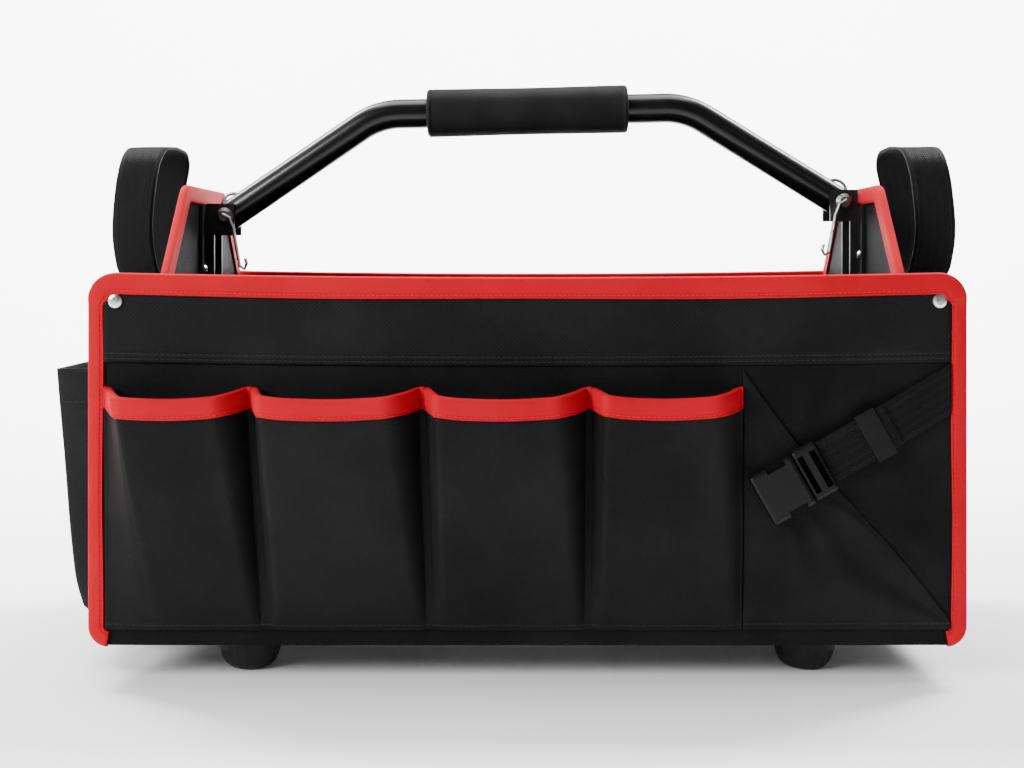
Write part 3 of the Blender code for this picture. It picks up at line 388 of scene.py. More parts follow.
# End walls. Each one is the same stiffened cloth, sewn upright at its two edges, drawn in
# towards the handle above the base, and carried up past the rim as a trapezoid ear.
DRAW_START = 100 * MM
DRAW_END = 212 * MM
SEAM_FLANGE = 5 * MM
SEAM_MARGIN = 4 * MM
FOLD_WIDTH = 14 * MM
EAR_REACH = {-1: 210 * MM, 1: 216 * MM}
EAR_BASE_DEPTH = 200 * MM
EAR_TOP_DEPTH = 106 * MM
EAR_TOP = 286 * MM
EAR_ROUND = 5 * MM
FLOOR_TURN = 14.4 * MM
FLOOR_TURN_RUN = 1 * MM
FLOOR_INSET = 1.5 * MM
LOOSE_MARGIN = 5 * MM
SEAM_X = LENGTH / 2 - SEAM_FLANGE - WALL / 2
WALL_SEAM_Y = DEPTH / 2 - WALL - GAP


def end_half_depth(z):
    """Half the end wall's width: a little narrower beside the floor, straight to the upper
    corner's start, then in to the ear's top, which is rounded by a quarter circle."""
    low_turn = CLOTH_BOTTOM + FLOOR_TURN
    heights = [CLOTH_BOTTOM, low_turn, low_turn + FLOOR_TURN_RUN, RIM - HIGH_CORNER, RIM, EAR_TOP]
    inset = WALL_SEAM_Y - FLOOR_INSET
    halves = [inset, inset, WALL_SEAM_Y, WALL_SEAM_Y, EAR_BASE_DEPTH / 2, EAR_TOP_DEPTH / 2]
    near_top = np.clip(EAR_ROUND - (EAR_TOP - z), 0, EAR_ROUND)
    return np.interp(z, heights, halves) - EAR_ROUND + np.sqrt(EAR_ROUND**2 - near_top**2)


def end_x(y, z, hand):
    """Distance from the middle to the end wall: the seam's, less a straight slope upwards that
    is held back near the two seams and let go above the rim."""
    slope = np.clip((z - DRAW_START) / (DRAW_END - DRAW_START), 0, 1)
    drawn = slope * (SEAM_X - EAR_REACH[hand])
    free = ease((end_half_depth(z) - SEAM_MARGIN - np.abs(y)) / FOLD_WIDTH)
    loose = ease((z - (RIM - 2 * HIGH_CORNER)) / (2 * HIGH_CORNER - LOOSE_MARGIN))
    return SEAM_X - drawn * np.maximum(free, loose)


# Painted shade: the end walls' weave is darker than the shell's, standing in for the shadow on the
# ears' inner faces.
shaded_end_cloth = cloth_finish("shaded_end_cloth", 0.0012, 0.0055)
for side_name, hand, node in (("left", -1, "end_panel_left"), ("right", 1, "end_panel_right")):
    u, v = unit_grid(61, 90)
    z = lerp(CLOTH_BOTTOM, EAR_TOP, v)
    y = hand * np.sin(np.pi * (u - 0.5)) * end_half_depth(z)
    end_wall = np.stack([hand * (end_x(y, z, hand) + WALL / 2), y, z], axis=-1)
    make_cloth(f"end_wall_{side_name}", end_wall, WALL, shaded_end_cloth, [node])

# Top band. A doubled strip of the cloth along the front under the rim, turned in along its
# lower edge and topstitched there in two rows.
BAND_DROP = 50 * MM
BAND_WALL = 1.2 * MM
BAND_TOP_CLEAR = 2 * MM
BAND_THREAD = 1.25 * MM
BAND_STITCHES = [2.2 * MM, 5.0 * MM]
BAND_RIPPLE = 0.12 * MM
RIPPLE_LENGTH = 23 * MM
RIPPLE_DRIFT = 61 * MM
BAND_ROLL = 0.25 * MM
BAND_PRESSED = 0.15 * MM
SIDE_TAPE = 8 * MM
GROOVE_WIDTH = 1.6 * MM


def seam_marks(paint, lines, pitch=3.2 * MM, width=0.42 * MM):
    """Mask of stitches across the cut map: short dashes at each line's distance up it."""
    across, up = paint.cut_map()
    total = 0.0
    for at in lines:
        near = 1 - ((up - at).size() / width).held(0.55, 1.0)
        dash = 1 - ((((across / pitch).part() - 0.5).size()) * 2).held(0.62, 0.86)
        total = near * dash + total
    return total


def seamed_cloth(name, dark, light, lines, thread=THREAD):
    """The shell's weave with a dip along each seam and a raised, paler yarn in it."""
    paint = weave_paint(name, dark, light, thread)
    marks = seam_marks(paint, lines)
    colour = paint.shader.inputs["Base Color"].links[0].from_socket
    normal = paint.shader.inputs["Normal"].links[0].from_socket
    _, up = paint.cut_map()
    groove = 0.0
    for at in lines:
        groove = groove - (1 - ((up - at).size() / GROOVE_WIDTH).held(0.0, 1.0))
    dipped = paint.bump(groove, 0.00045, 0.9, Socket(paint, normal))
    raised = paint.bump(marks, 0.00035, 1.0, dipped)
    tint = paint.mix(marks * 0.6, Socket(paint, colour), grey(0.022))
    return paint.finish(Base_Color=tint, Normal=raised, Specular_IOR_Level=0.08,
                        Sheen_Weight=0.01, Sheen_Roughness=0.45)


band_cloth = seamed_cloth("band_cloth", 0.0026, 0.0120, BAND_STITCHES, BAND_THREAD)
u, v = unit_grid(201, 25)
z = lerp(RIM - BAND_DROP, RIM - BAND_TOP_CLEAR, v)
half = np.minimum(LENGTH / 2 - SIDE_TAPE - GAP, half_width(z) - 2 * GAP)
x = (2 * u - 1) * half
ripple = BAND_RIPPLE * np.sin(x / RIPPLE_LENGTH + np.sin(x / RIPPLE_DRIFT)) * np.sin(np.pi * v)
roll = BAND_ROLL * (1 - ease(v / 0.05))
band = on_front(x, z, GAP + BAND_WALL + ripple - roll)
make_cloth("top_band", band, BAND_WALL - BAND_PRESSED, band_cloth, ["top_band_front"])

# Front pockets. One strip of cloth makes all four: stitched down to the wall at each divider
# and along the bottom, and left to billow between them, most at the mouth.
POCKETS = 4
POCKET_TOP = 147 * MM
POCKET_BOTTOM = 9.5 * MM
BOTTOM_STITCH = 3.4 * MM
POCKET_DEPTH = 25 * MM
POCKET_SAG = 5 * MM
POCKET_RUN = 363 * MM
DIVIDER_LEAN = 9 * MM
CLOTH = 1.8 * MM
TAPE = 0.9 * MM
POCKET_START = -LENGTH / 2 + SIDE_TAPE + 4 * GAP
DIVIDER_PLACE = [0, 0.228, 0.499, 0.760, 1.0]
DIVIDER_LEANS = [0, 1.0, 0.5, -0.1, 0]
LOW_FLANKS = [0.30, 0.06, 0.06, 0.06]
POCKET_FULLNESS = [0.96, 1.0, 1.0, 0.84]
LOW_FLANK_RIGHT = 0.05
MOUTH_FLANKS = [0.13, 0.07, 0.07, 0.07]
MOUTH_FLANK_RIGHT = 0.20
# Shares of a pocket's columns up to the crease of its left flank and up to its right flank.
CREASE_COLUMN = 0.25
ROLL_COLUMN = 0.68
# Share of the width that is stitched down at each side, and powers of the two rounded runs.
LAND = 0.03
FILL_POWER = 0.72
ROLL_POWER = 0.8
# The bulge dips just before the crease, and falls away a little from there to the right.
CREASE_DIP = 0.10
CREASE_DIP_WIDTH = 0.12
TURN_AWAY = 0.22
WRINKLE = 0.5 * MM
WRINKLE_LENGTH = 9 * MM
SAG_AT = [0, 0.03, 0.12, 0.25, 0.50, 0.74, 0.90, 0.97, 1]
SAG = [0, 0.10, 0.55, 0.85, 1, 0.84, 0.42, 0.10, 0]


def through(at, knots, values):
    """Smooth curve through knots: cubic spans whose slope at a knot is the harmonic mean of
    the straight slopes on its two sides, and level where those change sign."""
    knots, values = np.asarray(knots, float), np.asarray(values, float)
    run = np.diff(knots)
    rise = np.diff(values) / run
    same = rise[:-1] * rise[1:] > 0
    sum_of = np.where(same, rise[:-1] + rise[1:], 1)
    inner = np.where(same, 2 * rise[:-1] * rise[1:] / sum_of, 0)
    slope = np.concatenate([rise[:1], inner, rise[-1:]])
    span = np.clip(np.searchsorted(knots, at, side="right") - 1, 0, len(knots) - 2)
    t = np.clip((at - knots[span]) / run[span], 0, 1)
    start, end = values[span], values[span + 1]
    curve = start * (1 + 2 * t) * (1 - t) ** 2 + end * t * t * (3 - 2 * t)
    return curve + run[span] * (slope[span] * t * (1 - t) ** 2 - slope[span + 1] * t * t * (1 - t))


def pocket_middle(u, v):
    """Middle of the strip's cloth. The bulge rises straight over the left flank to a crease that
    leans in towards the divider with height, and rolls off round the wider right flank; it is
    the pocket's fullness times height to the fill power. The grid's columns follow the crease."""
    which = np.clip((u * POCKETS).astype(int), 0, POCKETS - 1)
    column = u * POCKETS - which
    place, leans = np.array(DIVIDER_PLACE), np.array(DIVIDER_LEANS)
    left = POCKET_START + place[which] * POCKET_RUN + leans[which] * DIVIDER_LEAN * (1 - v)
    right = POCKET_START + place[which + 1] * POCKET_RUN + leans[which + 1] * DIVIDER_LEAN * (1 - v)
    left_flank = lerp(np.array(LOW_FLANKS)[which], np.array(MOUTH_FLANKS)[which], v)
    right_flank = lerp(LOW_FLANK_RIGHT, MOUTH_FLANK_RIGHT, v)
    crease_at, roll_at = LAND + left_flank, 1 - LAND - right_flank
    on_left, on_right = column / CREASE_COLUMN, (column - ROLL_COLUMN) / (1 - ROLL_COLUMN)
    between = np.clip((column - CREASE_COLUMN) / (ROLL_COLUMN - CREASE_COLUMN), 0, 1)
    across = np.where(on_left < 1, crease_at * on_left, lerp(crease_at, roll_at, between))
    across = np.where(on_right > 0, lerp(roll_at, 1, on_right), across)
    rise = np.clip((across - LAND) / left_flank, 0, 1)
    rise = rise - CREASE_DIP * np.exp(-(((rise - 1) / CREASE_DIP_WIDTH) ** 2)) * (rise < 1)
    fall = np.sin(np.pi / 2 * np.clip((1 - LAND - across) / right_flank, 0, 1)) ** ROLL_POWER
    turn_away = 1 - TURN_AWAY * ease((across - left_flank) / (1 - left_flank))
    mouth = through(across, SAG_AT, SAG)
    depth = np.array(POCKET_FULLNESS)[which] * POCKET_DEPTH * v**FILL_POWER
    bulge = rise * fall * turn_away * depth
    z = lerp(CLOTH_BOTTOM + POCKET_BOTTOM, CLOTH_BOTTOM + POCKET_TOP - POCKET_SAG * mouth, v)
    x = lerp(left, right, across)
    wrinkle = WRINKLE * np.sin(x / WRINKLE_LENGTH + 9 * v) * np.sin(np.pi * v) ** 2 * mouth
    seat = lerp(GAP, 3 * GAP + TAPE, v) + CLOTH / 2
    return np.stack([x, -face_y(x, z) - seat - bulge - wrinkle, z], axis=-1)


pocket_cloth = seamed_cloth("pocket_cloth", 0.0023, 0.0105, [BOTTOM_STITCH])
u, v = unit_grid(POCKETS * 60 + 1, 70)
strip = pocket_middle(u, v)
strip_out = outwards(strip)
strip_face = strip + strip_out * CLOTH / 2
make_cloth("pocket_strip_cloth", strip_face, CLOTH, pocket_cloth, ["pocket_strip"])

# Slanted pocket. A flat piece of the cloth behind the strap, open along its diagonal mouth.
# The pulled strap throws soft folds into it, out from the buckle.
SLANT_TOP = 159 * MM
SLANT_LOW = 14 * MM
SLANT_PUFF = 4 * MM
SLANT_LEFT = POCKET_START + POCKET_RUN + 2 * GAP
SLANT_RIGHT = LENGTH / 2 - SIDE_TAPE - 4 * GAP
# Shares of the height where the puff ends and over which the folds fade in and out.
PUFF_END = 0.62
FOLD_START = 0.15
FOLD_STOP = 0.12


def slant_mouth(share):
    """Height of the mouth: a straight slope, whose share is moved on by 0.02 of a full sine
    wave and 0.015 of a half one."""
    sag = 0.02 * np.sin(2 * np.pi * share) + 0.015 * np.sin(np.pi * share)
    return CLOTH_BOTTOM + lerp(SLANT_TOP, SLANT_LOW, share + sag)


slant_cloth = seamed_cloth("slant_cloth", 0.0023, 0.0105, [BOTTOM_STITCH])
u, v = unit_grid(110, 90)
x = lerp(SLANT_LEFT, SLANT_RIGHT, u)
z = lerp(CLOTH_BOTTOM + POCKET_BOTTOM, slant_mouth(u), v)
puff = SLANT_PUFF * np.sin(np.pi * u) * np.sin(np.pi * np.minimum(v / PUFF_END, 1)) ** 2
free = np.sin(np.pi * u) ** 0.4 * ease(v / FOLD_START) * ease((1 - v) / FOLD_STOP)
slant_out = GAP + CLOTH + puff + pull_folds(x, z) * free
slant_flat = np.stack([x - SLANT_LEFT, z - CLOTH_BOTTOM - POCKET_BOTTOM], axis=-1)
slant_sheet = on_front(x, z, slant_out)
make_cloth("slant_pocket_cloth", slant_sheet, CLOTH, slant_cloth, ["slant_pocket"], flat=slant_flat)

# Side pocket. A billowed pouch of the cloth on the left end wall, sewn on down both sides
# and shut along the bottom, with its mouth hemmed.
SIDE_POCKET_WIDTH = 126 * MM
SIDE_POCKET_TOP = 154 * MM
SIDE_POCKET_REACH = 287 * MM
SIDE_POCKET_TAPER = 15 * MM
SIDE_POCKET_CORNER = 0.24
SIDE_POCKET_START = 1 * MM
SIDE_POCKET_SPLAY = 6 * MM
SIDE_POCKET_CLEAR = 0.5 * MM
SIDE_POCKET_SEAT = 1 * MM
SIDE_POCKET_BELLY = 2 * MM
DENT = 0.7 * MM
DENT_LENGTH = 11 * MM
HEM_STITCH = 147.5 * MM
# Painted light: the side pocket's weave is paler than the shell's, as if the left side were lit.
lit_side_cloth = seamed_cloth("lit_side_cloth", 0.0036, 0.0140, [HEM_STITCH])
u, v = unit_grid(97, 70)
u = u[:, ::-1]
height = lerp(0.001, 1, v)
z = CLOTH_BOTTOM + SIDE_POCKET_START + height * (SIDE_POCKET_TOP - SIDE_POCKET_START)
side = np.minimum(np.minimum(u, 1 - u) / SIDE_POCKET_CORNER, 1)
out = np.sin(np.pi / 2 * side) ** 0.7
middle = np.clip((u - SIDE_POCKET_CORNER) / (1 - 2 * SIDE_POCKET_CORNER), 0, 1)
y = (2 * middle - 1) * (SIDE_POCKET_WIDTH / 2 - SIDE_POCKET_SPLAY)
y += np.sign(u - 0.5) * SIDE_POCKET_SPLAY * (1 - side)
wall_x = end_x(y, z, -1) + WALL / 2 + SIDE_POCKET_CLEAR
spread = through(height, [0, 0.02, 0.06, 0.2, 1], [0, 0.45, 0.9, 1, 1])
reach = SIDE_POCKET_REACH - CLOTH / 2 - SIDE_POCKET_TAPER * (1 - height)
belly = SIDE_POCKET_BELLY * np.sin(np.pi * u) * np.sin(np.pi * height)
dents = DENT * np.sin(y / DENT_LENGTH + 5 * height) * np.sin(np.pi * height) * out
x = -(wall_x + (reach + belly - wall_x) * out * spread + dents) - SIDE_POCKET_SEAT * (1 - spread)
pouch = np.stack([x, y, z], axis=-1)
pouch += outwards(pouch) * CLOTH / 2
make_cloth("side_pocket_cloth", pouch, CLOTH, lit_side_cloth, ["side_pocket"])

# Binding. One bright red woven tape is folded over each raw edge and sewn through both of
# its legs near the inner edge: round the long walls, over the ears and along the pockets.
RIM_TAPE = 11.5 * MM
EAR_TAPE = 9.5 * MM
TAPE_BACK = 3.4 * MM
TAPE_STITCH = 1.9 * MM
TAPE_GROOVE = 1.3 * MM
TAPE_PUFF = 0.42 * MM
TAPE_FOLD = 1.3 * MM
TAPE_STEP = 1.6 * MM
TAPE_RIB = 0.62 * MM
TAPE_CROSS_RIB = 0.55 * MM
TAPE_UNEVEN = 0.35 * MM
UNEVEN_ALONG = 37 * MM
UNEVEN_UP = 21 * MM
EAR_TAPE_DROP = 2 * MM
# Points down the front leg of a tape, and up its back leg.
FRONT_ROWS, BACK_ROWS = 12, 6
FRONT_SHARES = np.linspace(1, 0, FRONT_ROWS)
BACK_SHARES = np.linspace(0, 1, BACK_ROWS)
FOLD_TURNS = np.linspace(0, np.pi, 9)[1:-1]


def tape_finish(name):
    """Red tape: fine ribs across it, a faint uneven sheen, and a row of stitches in a groove
    darkened with painted shade.
    """
    paint = Paint(name)
    across, up = paint.cut_map()
    place = paint.object_place()
    ribs = (across * (2 * math.pi / TAPE_RIB)).wave()
    cross = (up * (2 * math.pi / TAPE_CROSS_RIB)).wave()
    fibre = paint.noise(place, 700.0, 2.0, 0.6)
    dye = paint.noise(place, 26.0, 2.0, 0.5).held(0.3, 0.7)
    marks = seam_marks(paint, [TAPE_STITCH], pitch=2.8 * MM, width=0.36 * MM)
    groove = 1 - ((up - TAPE_STITCH).size() / TAPE_GROOVE).held(0.0, 1.0)
    base = paint.mix(dye * 0.6 + fibre * 0.25, (0.36, 0.0006, 0.008, 1), (0.43, 0.0012, 0.012, 1))
    # Painted shade: the stitch groove is darkened towards a deep red.
    groove_shaded = paint.mix(groove * 0.35, base, (0.23, 0.0004, 0.004, 1))
    tint = paint.mix(marks * 0.7, groove_shaded, (0.58, 0.006, 0.020, 1))
    hollow = paint.bump(0 - groove, 0.0004, 0.8)
    ribbed = paint.bump(ribs * cross + fibre, 0.00007, 0.5, hollow)
    raised = paint.bump(marks, 0.0003, 0.9, ribbed)
    return paint.finish(Base_Color=tint, Roughness=0.62 - fibre * 0.12, Normal=raised,
                        Specular_IOR_Level=0.05, Sheen_Weight=0.01, Sheen_Roughness=0.4)


def leg_puff(share):
    """How far a tape's front leg puffs out at this share of its width: a half sine wave."""
    return TAPE_PUFF * math.sin(math.pi * share) ** 0.8


def fold_over(name, edge, inward, seat, width, out, back_out, back_leg, finish, nodes):
    """A tape over an edge: its outer face goes up the front leg, round a half ellipse past the
    edge and down the back leg, at each point of the path and along that point's inward way."""
    fold = min((out.mean() + back_out) / 2, TAPE_FOLD)
    down = [s * width for s in FRONT_SHARES]
    level = [out + leg_puff(s) for s in FRONT_SHARES]
    down += [0 * width - fold * math.sin(a) for a in FOLD_TURNS]
    level += [lerp(out, -back_out, (1 - math.cos(a)) / 2) for a in FOLD_TURNS]
    down += [0 * width + s * back_leg for s in BACK_SHARES]
    level += [0 * width - back_out for _ in BACK_SHARES]
    points = [seat(edge + inward * d[:, None], o) for d, o in zip(down, level)]
    make_cloth(name, np.stack(points), TAPE, finish, nodes)


def path_ways(edge):
    """Unit direction along a path of points at each point."""
    step = np.gradient(edge, axis=0)
    return step / np.linalg.norm(step, axis=1, keepdims=True)


def corner_arc(first, last, radius, x, z, count=14):
    """Points of a quarter circle about (x, z) between two angles in degrees."""
    angle = np.radians(np.linspace(first, last, count))
    return np.stack([x + radius * np.cos(angle), 0 * angle, z + radius * np.sin(angle)], axis=1)


def evenly(points, step):
    """The same path with points at even steps along it."""
    run = np.concatenate([[0], np.cumsum(np.linalg.norm(np.diff(points, axis=0), axis=1))])
    at = np.linspace(0, run[-1], int(run[-1] / step) + 1)
    return np.stack([np.interp(at, run, points[:, axis]) for axis in range(3)], axis=1)


tape_side = tape_finish("binding_tape")
right_side = np.concatenate([
    corner_arc(90, 0, HIGH_CORNER, LENGTH / 2 - HIGH_CORNER, RIM - HIGH_CORNER),
    corner_arc(0, -84, LOW_CORNER, LENGTH / 2 - LOW_CORNER, CLOTH_BOTTOM + LOW_CORNER),
])
outline = evenly(np.concatenate([right_side[::-1] * np.array([-1, 1, 1]), right_side]), TAPE_STEP)
along = path_ways(outline)
inward = np.stack([along[:, 2], 0 * along[:, 1], -along[:, 0]], axis=1)
# The tape widens from its width down the sides to its width along the rim.
WIDEN_RUN = 6 * MM
WIDEN_START = RIM - HIGH_CORNER - WIDEN_RUN / 2
rimward = ease((outline[:, 2] - WIDEN_START) / WIDEN_RUN)
uneven = TAPE_UNEVEN * np.sin(outline[:, 0] / UNEVEN_ALONG + outline[:, 2] / UNEVEN_UP)
tape_width = lerp(SIDE_TAPE, RIM_TAPE, rimward) + uneven


def wall_seat(face):
    """The seat on a long wall: level out from the middle of its cloth. face is -1 in front."""

    def seat(points, out):
        x, z = points[:, 0], points[:, 2]
        share = np.clip((z - CLOTH_BOTTOM) / PANEL_HEIGHT, 0, 1.02)
        y = face * (face_y(x, z) - WALL / 2 + out)
        return np.stack([x, y, z - rim_drop(x) * share], axis=1)

    return seat


leg_out = WALL / 2 + GAP + TAPE
for face, face_name, covered in ((-1, "front", BAND_WALL + GAP), (1, "back", 0)):
    way = slice(None) if face < 0 else slice(None, None, -1)
    nodes = [f"rim_binding_{face_name}"]
    nodes += [f"corner_binding_{face_name}_{side_name}" for side_name in ("left", "right")]
    fold_over(
        f"binding_{face_name}", outline[way], inward[way], wall_seat(face), tape_width[way],
        leg_out + covered * rimward[way], leg_out, TAPE_BACK, tape_side, nodes,
    )

tape_ear = tape_finish("ear_tape")
for side_name, hand in (("left", -1), ("right", 1)):
    rise = np.linspace(RIM - EAR_TAPE_DROP, EAR_TOP, 60)
    slanted = np.stack([0 * rise, end_half_depth(rise), rise], axis=1)
    ear = evenly(np.concatenate([slanted, slanted[::-1] * np.array([1, -1, 1])]), TAPE_STEP)
    ear = ear if hand < 0 else ear[::-1]
    along = path_ways(ear)
    into = np.stack([0 * along[:, 0], hand * along[:, 2], -hand * along[:, 1]], axis=1)
    into *= np.where((into[:, 1] * ear[:, 1] + into[:, 2] * (ear[:, 2] - RIM)) > 0, -1, 1)[:, None]

    def ear_seat(points, out, hand=hand):
        y, z = points[:, 1], points[:, 2]
        return np.stack([hand * (end_x(y, z, hand) + out), y, z], axis=1)

    fold_over(
        f"binding_ear_{side_name}", ear, into, ear_seat, np.full(len(ear), EAR_TAPE),
        np.full(len(ear), leg_out), leg_out, EAR_TAPE, tape_ear, [f"ear_binding_{side_name}"],
    )

POCKET_TAPE = 11 * MM
pocket_tape = tape_finish("pocket_tape")
tall = POCKET_TOP - POCKET_BOTTOM
tape_out = CLOTH / 2 + 1.5 * GAP + TAPE
rows = []
# Height on the strip as a share, distance out from its middle, and lift, for each row of tape.
tape_rows = [(1 - POCKET_TAPE / tall * s, tape_out + leg_puff(s), 0) for s in FRONT_SHARES]
tape_rows += [(1, tape_out * math.cos(a), TAPE_FOLD * math.sin(a)) for a in FOLD_TURNS]
tape_rows += [(1 - TAPE_BACK / tall * s, -tape_out, 0) for s in BACK_SHARES]
for v_row, out, lift in tape_rows:
    index = v_row * (strip.shape[0] - 1)
    low = int(min(index, strip.shape[0] - 2))
    place = lerp(strip[low], strip[low + 1], index - low)
    normal = lerp(strip_out[low], strip_out[low + 1], index - low)
    rows.append(place + normal * out + np.array([0, 0, lift]))
make_cloth("binding_pockets", np.stack(rows), TAPE, pocket_tape, ["pocket_binding"])

# Hand loops. Black polyester webbing, 25 mm wide. Both ends of each loop are sewn flat to
# the outside of an end wall, and the rest turns edge on and stands up in an arch.
WEB = 1.6 * MM
LOOP_WIDTH = 25 * MM
LOOP_TOP = 314 * MM
LOOP_SPREAD = 36 * MM
LOOP_SEWN = 158 * MM
# At these shares of a leg, from its sewn end to the top: its height, how far out it is on the
# front leg and on the back one, its distance from the middle, and its turn, each as a share.
LOOP_SHARE = [0, 0.14, 0.24, 0.36, 0.50, 0.66, 0.80, 0.90, 1]
LOOP_HEIGHT = [0, 0.17, 0.28, 0.43, 0.60, 0.79, 0.93, 0.985, 1]
LOOP_OUT = [0, 0, 0.28, 0.85, 0.98, 0.92, 0.82, 0.76, 0.70]
LOOP_BACK_OUT = [0, 0, 0.28, 0.82, 0.95, 0.86, 0.66, 0.62, 0.70]
LOOP_WIDEN = [1.06, 1.06, 1.05, 1.03, 1.03, 0.98, 0.82, 0.50, 0]
LOOP_TURN = [0, 0, 0.35, 0.95, 1, 1, 1, 1, 1]
LOOP_MIDDLE = {-1: 247 * MM, 1: 255 * MM}
LOOP_BOW = 0.25 * MM
WEB_STITCH = 2.6 * MM
WEB_HERRING = 5.2 * MM
WEB_RIB = 1.5 * MM
WEB_CORD = 1.3 * MM


def webbing_finish(name, dark, light, yarn):
    """Herringbone webbing: ribs across it that lean one way and then the other, fine cords
    along it, and a row of stitches near each edge."""
    paint = Paint(name)
    across, up = paint.cut_map()
    place = paint.object_place()
    zigzag = ((up / WEB_HERRING).part() - 0.5).size() * 2
    ribs = ((across / WEB_RIB + zigzag * 1.6) * (2 * math.pi)).wave()
    cords = (up * (2 * math.pi / WEB_CORD)).wave()
    fibre = paint.noise(place, 800.0, 2.0, 0.6)
    shade = (ribs * 0.25 + cords * 0.15 + fibre * 0.6).held(-0.1, 0.9)
    colour = paint.mix(shade, grey(dark), grey(light))
    stitches = [WEB_STITCH, LOOP_WIDTH - WEB_STITCH]
    marks = seam_marks(paint, stitches, pitch=3.0 * MM, width=0.4 * MM)
    tint = paint.mix(marks * 0.5, colour, grey(yarn))
    normal = paint.bump(ribs * 0.6 + cords * 0.4 + fibre * 0.4, 0.00022, 0.75)
    return paint.finish(Base_Color=tint, Roughness=0.66 - shade * 0.12, Normal=normal,
                        Specular_IOR_Level=0.08, Sheen_Weight=0.01, Sheen_Roughness=0.4)


loop_web = webbing_finish("loop_webbing", 0.0024, 0.0110, 0.022)
for side_name, hand in (("left", -1), ("right", 1)):
    u, v = unit_grid(241, 9)
    side = np.where(u < 0.5, -1.0, 1.0)
    share = 1 - np.abs(2 * u - 1)
    z = lerp(CLOTH_BOTTOM + LOOP_SEWN, LOOP_TOP, through(share, LOOP_SHARE, LOOP_HEIGHT))
    y = side * LOOP_SPREAD * through(share, LOOP_SHARE, LOOP_WIDEN)
    on_wall = end_x(y, np.minimum(z, EAR_TOP), hand) + WALL / 2 + 2 * GAP + WEB / 2
    angle = np.pi / 2 * np.clip(through(share, LOOP_SHARE, LOOP_TURN), 0, 1)
    clear = on_wall + LOOP_WIDTH / 2 * np.sin(angle)
    front_swing = through(share, LOOP_SHARE, LOOP_OUT)
    swing = np.where(u < 0.5, front_swing, through(share, LOOP_SHARE, LOOP_BACK_OUT))
    x = hand * (clear + (LOOP_MIDDLE[hand] - on_wall - LOOP_WIDTH / 2) * swing)
    offset = LOOP_WIDTH * (v - 0.5)
    x, y = x + hand * np.sin(angle) * offset, y + side * np.cos(angle) * offset
    loop = np.stack([x, y, z], axis=-1)
    loop = loop + outwards(loop) * (WEB / 2 - LOOP_BOW * (2 * v - 1)[..., None] ** 4)
    nodes = [f"hand_loop_{side_name}"]
    make_cloth(f"hand_loop_web_{side_name}", loop, WEB, loop_web, nodes)

# Strap. The same webbing, sewn in under the right-hand binding. It runs down to the buckle,
# where its tail is folded back, and a stub sewn to the wall holds the buckle's left part.
STRAP_WIDTH = 25 * MM
STRAP_LIFT = 4 * GAP + CLOTH + WEB / 2
FEMALE_LENGTH = 27 * MM
MALE_LENGTH = 15 * MM
TAIL_END = 67 * MM
TAIL_LIFT = 0.9 * MM
STRAP_BOW = 0.3 * MM
RIBBON_COLUMNS, RIBBON_ROWS = 61, 9
strap_web = webbing_finish("strap_webbing", 0.0012, 0.0060, 0.011)
STRAP_EDGE = LENGTH / 2 - SIDE_TAPE - GAP


def ribbon(start, end, lift):
    """Webbing laid along the strap's slope: along and across it, this far off the front wall."""
    u, v = unit_grid(RIBBON_COLUMNS, RIBBON_ROWS)
    across = STRAP_WIDTH * (v - 0.5)
    along = lerp(start, end + 0 * across, u)
    x = BUCKLE_X + along * math.cos(STRAP_SLOPE) - across * math.sin(STRAP_SLOPE)
    z = BUCKLE_Z + along * math.sin(STRAP_SLOPE) + across * math.cos(STRAP_SLOPE)
    bow = STRAP_BOW * (2 * v - 1) ** 4
    return np.stack([x, -face_y(x, z) - STRAP_LIFT - WEB / 2 - lift(u) + bow, z], axis=-1)


_, v = unit_grid(RIBBON_COLUMNS, RIBBON_ROWS)
level_run = STRAP_EDGE - BUCKLE_X + STRAP_WIDTH * (v - 0.5) * math.sin(STRAP_SLOPE)
far = level_run / math.cos(STRAP_SLOPE)
under_male = FEMALE_LENGTH / 4 + MALE_LENGTH / 3
past_buckle = FEMALE_LENGTH / 4 + MALE_LENGTH + 2 * GAP
long_strap = ribbon(under_male, far, lambda u: -(CLOTH + 2 * GAP) * ease((u - 0.62) / 0.3))
tail = ribbon(past_buckle, TAIL_END, lambda u: WEB + GAP + TAIL_LIFT * np.sin(np.pi * u) ** 2)
stub = ribbon(-FEMALE_LENGTH * 0.72, -FEMALE_LENGTH * 0.1, lambda u: 0 * u)
for name, web, node in (
    ("strap_long", long_strap, "strap_web"),
    ("strap_folded_tail", tail, "strap_tail"),
    ("strap_stub", stub, "strap_anchor"),
):
    make_cloth(name, web, WEB, strap_web, [node])


# Buckle and keeper. Moulded acetal, satin black, with a fine grain and light scuffs. The
# buckle's two parts are clicked together, and the keeper rides on the strap.
def coat(node, finish):
    """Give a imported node's object this finish."""
    held = bpy.data.objects[node]
    held.data.materials.clear()
    held.data.materials.append(finish)


def moulded_finish(name, dark, light, gloss, grain):
    """Moulded skin: a fine even grain, and broad scuffs that are paler and less glossy."""
    paint = Paint(name)
    place = paint.object_place()
    fine = paint.noise(place, grain, 3.0, 0.6)
    scuff = paint.noise(place, 60.0, 4.0, 0.6).held(0.5, 0.75)
    colour = paint.mix(scuff * 0.5 + fine * 0.3, grey(dark), grey(light))
    normal = paint.bump(fine, 0.00008, 0.5)
    return paint.finish(Base_Color=colour, Roughness=1 - gloss + scuff * 0.12, Normal=normal,
                        Specular_IOR_Level=0.18)


acetal = moulded_finish("acetal", 0.0014, 0.0050, 0.62, 1500.0)
for node in ("strap_keeper", "buckle_female", "buckle_male"):
    coat(node, acetal)

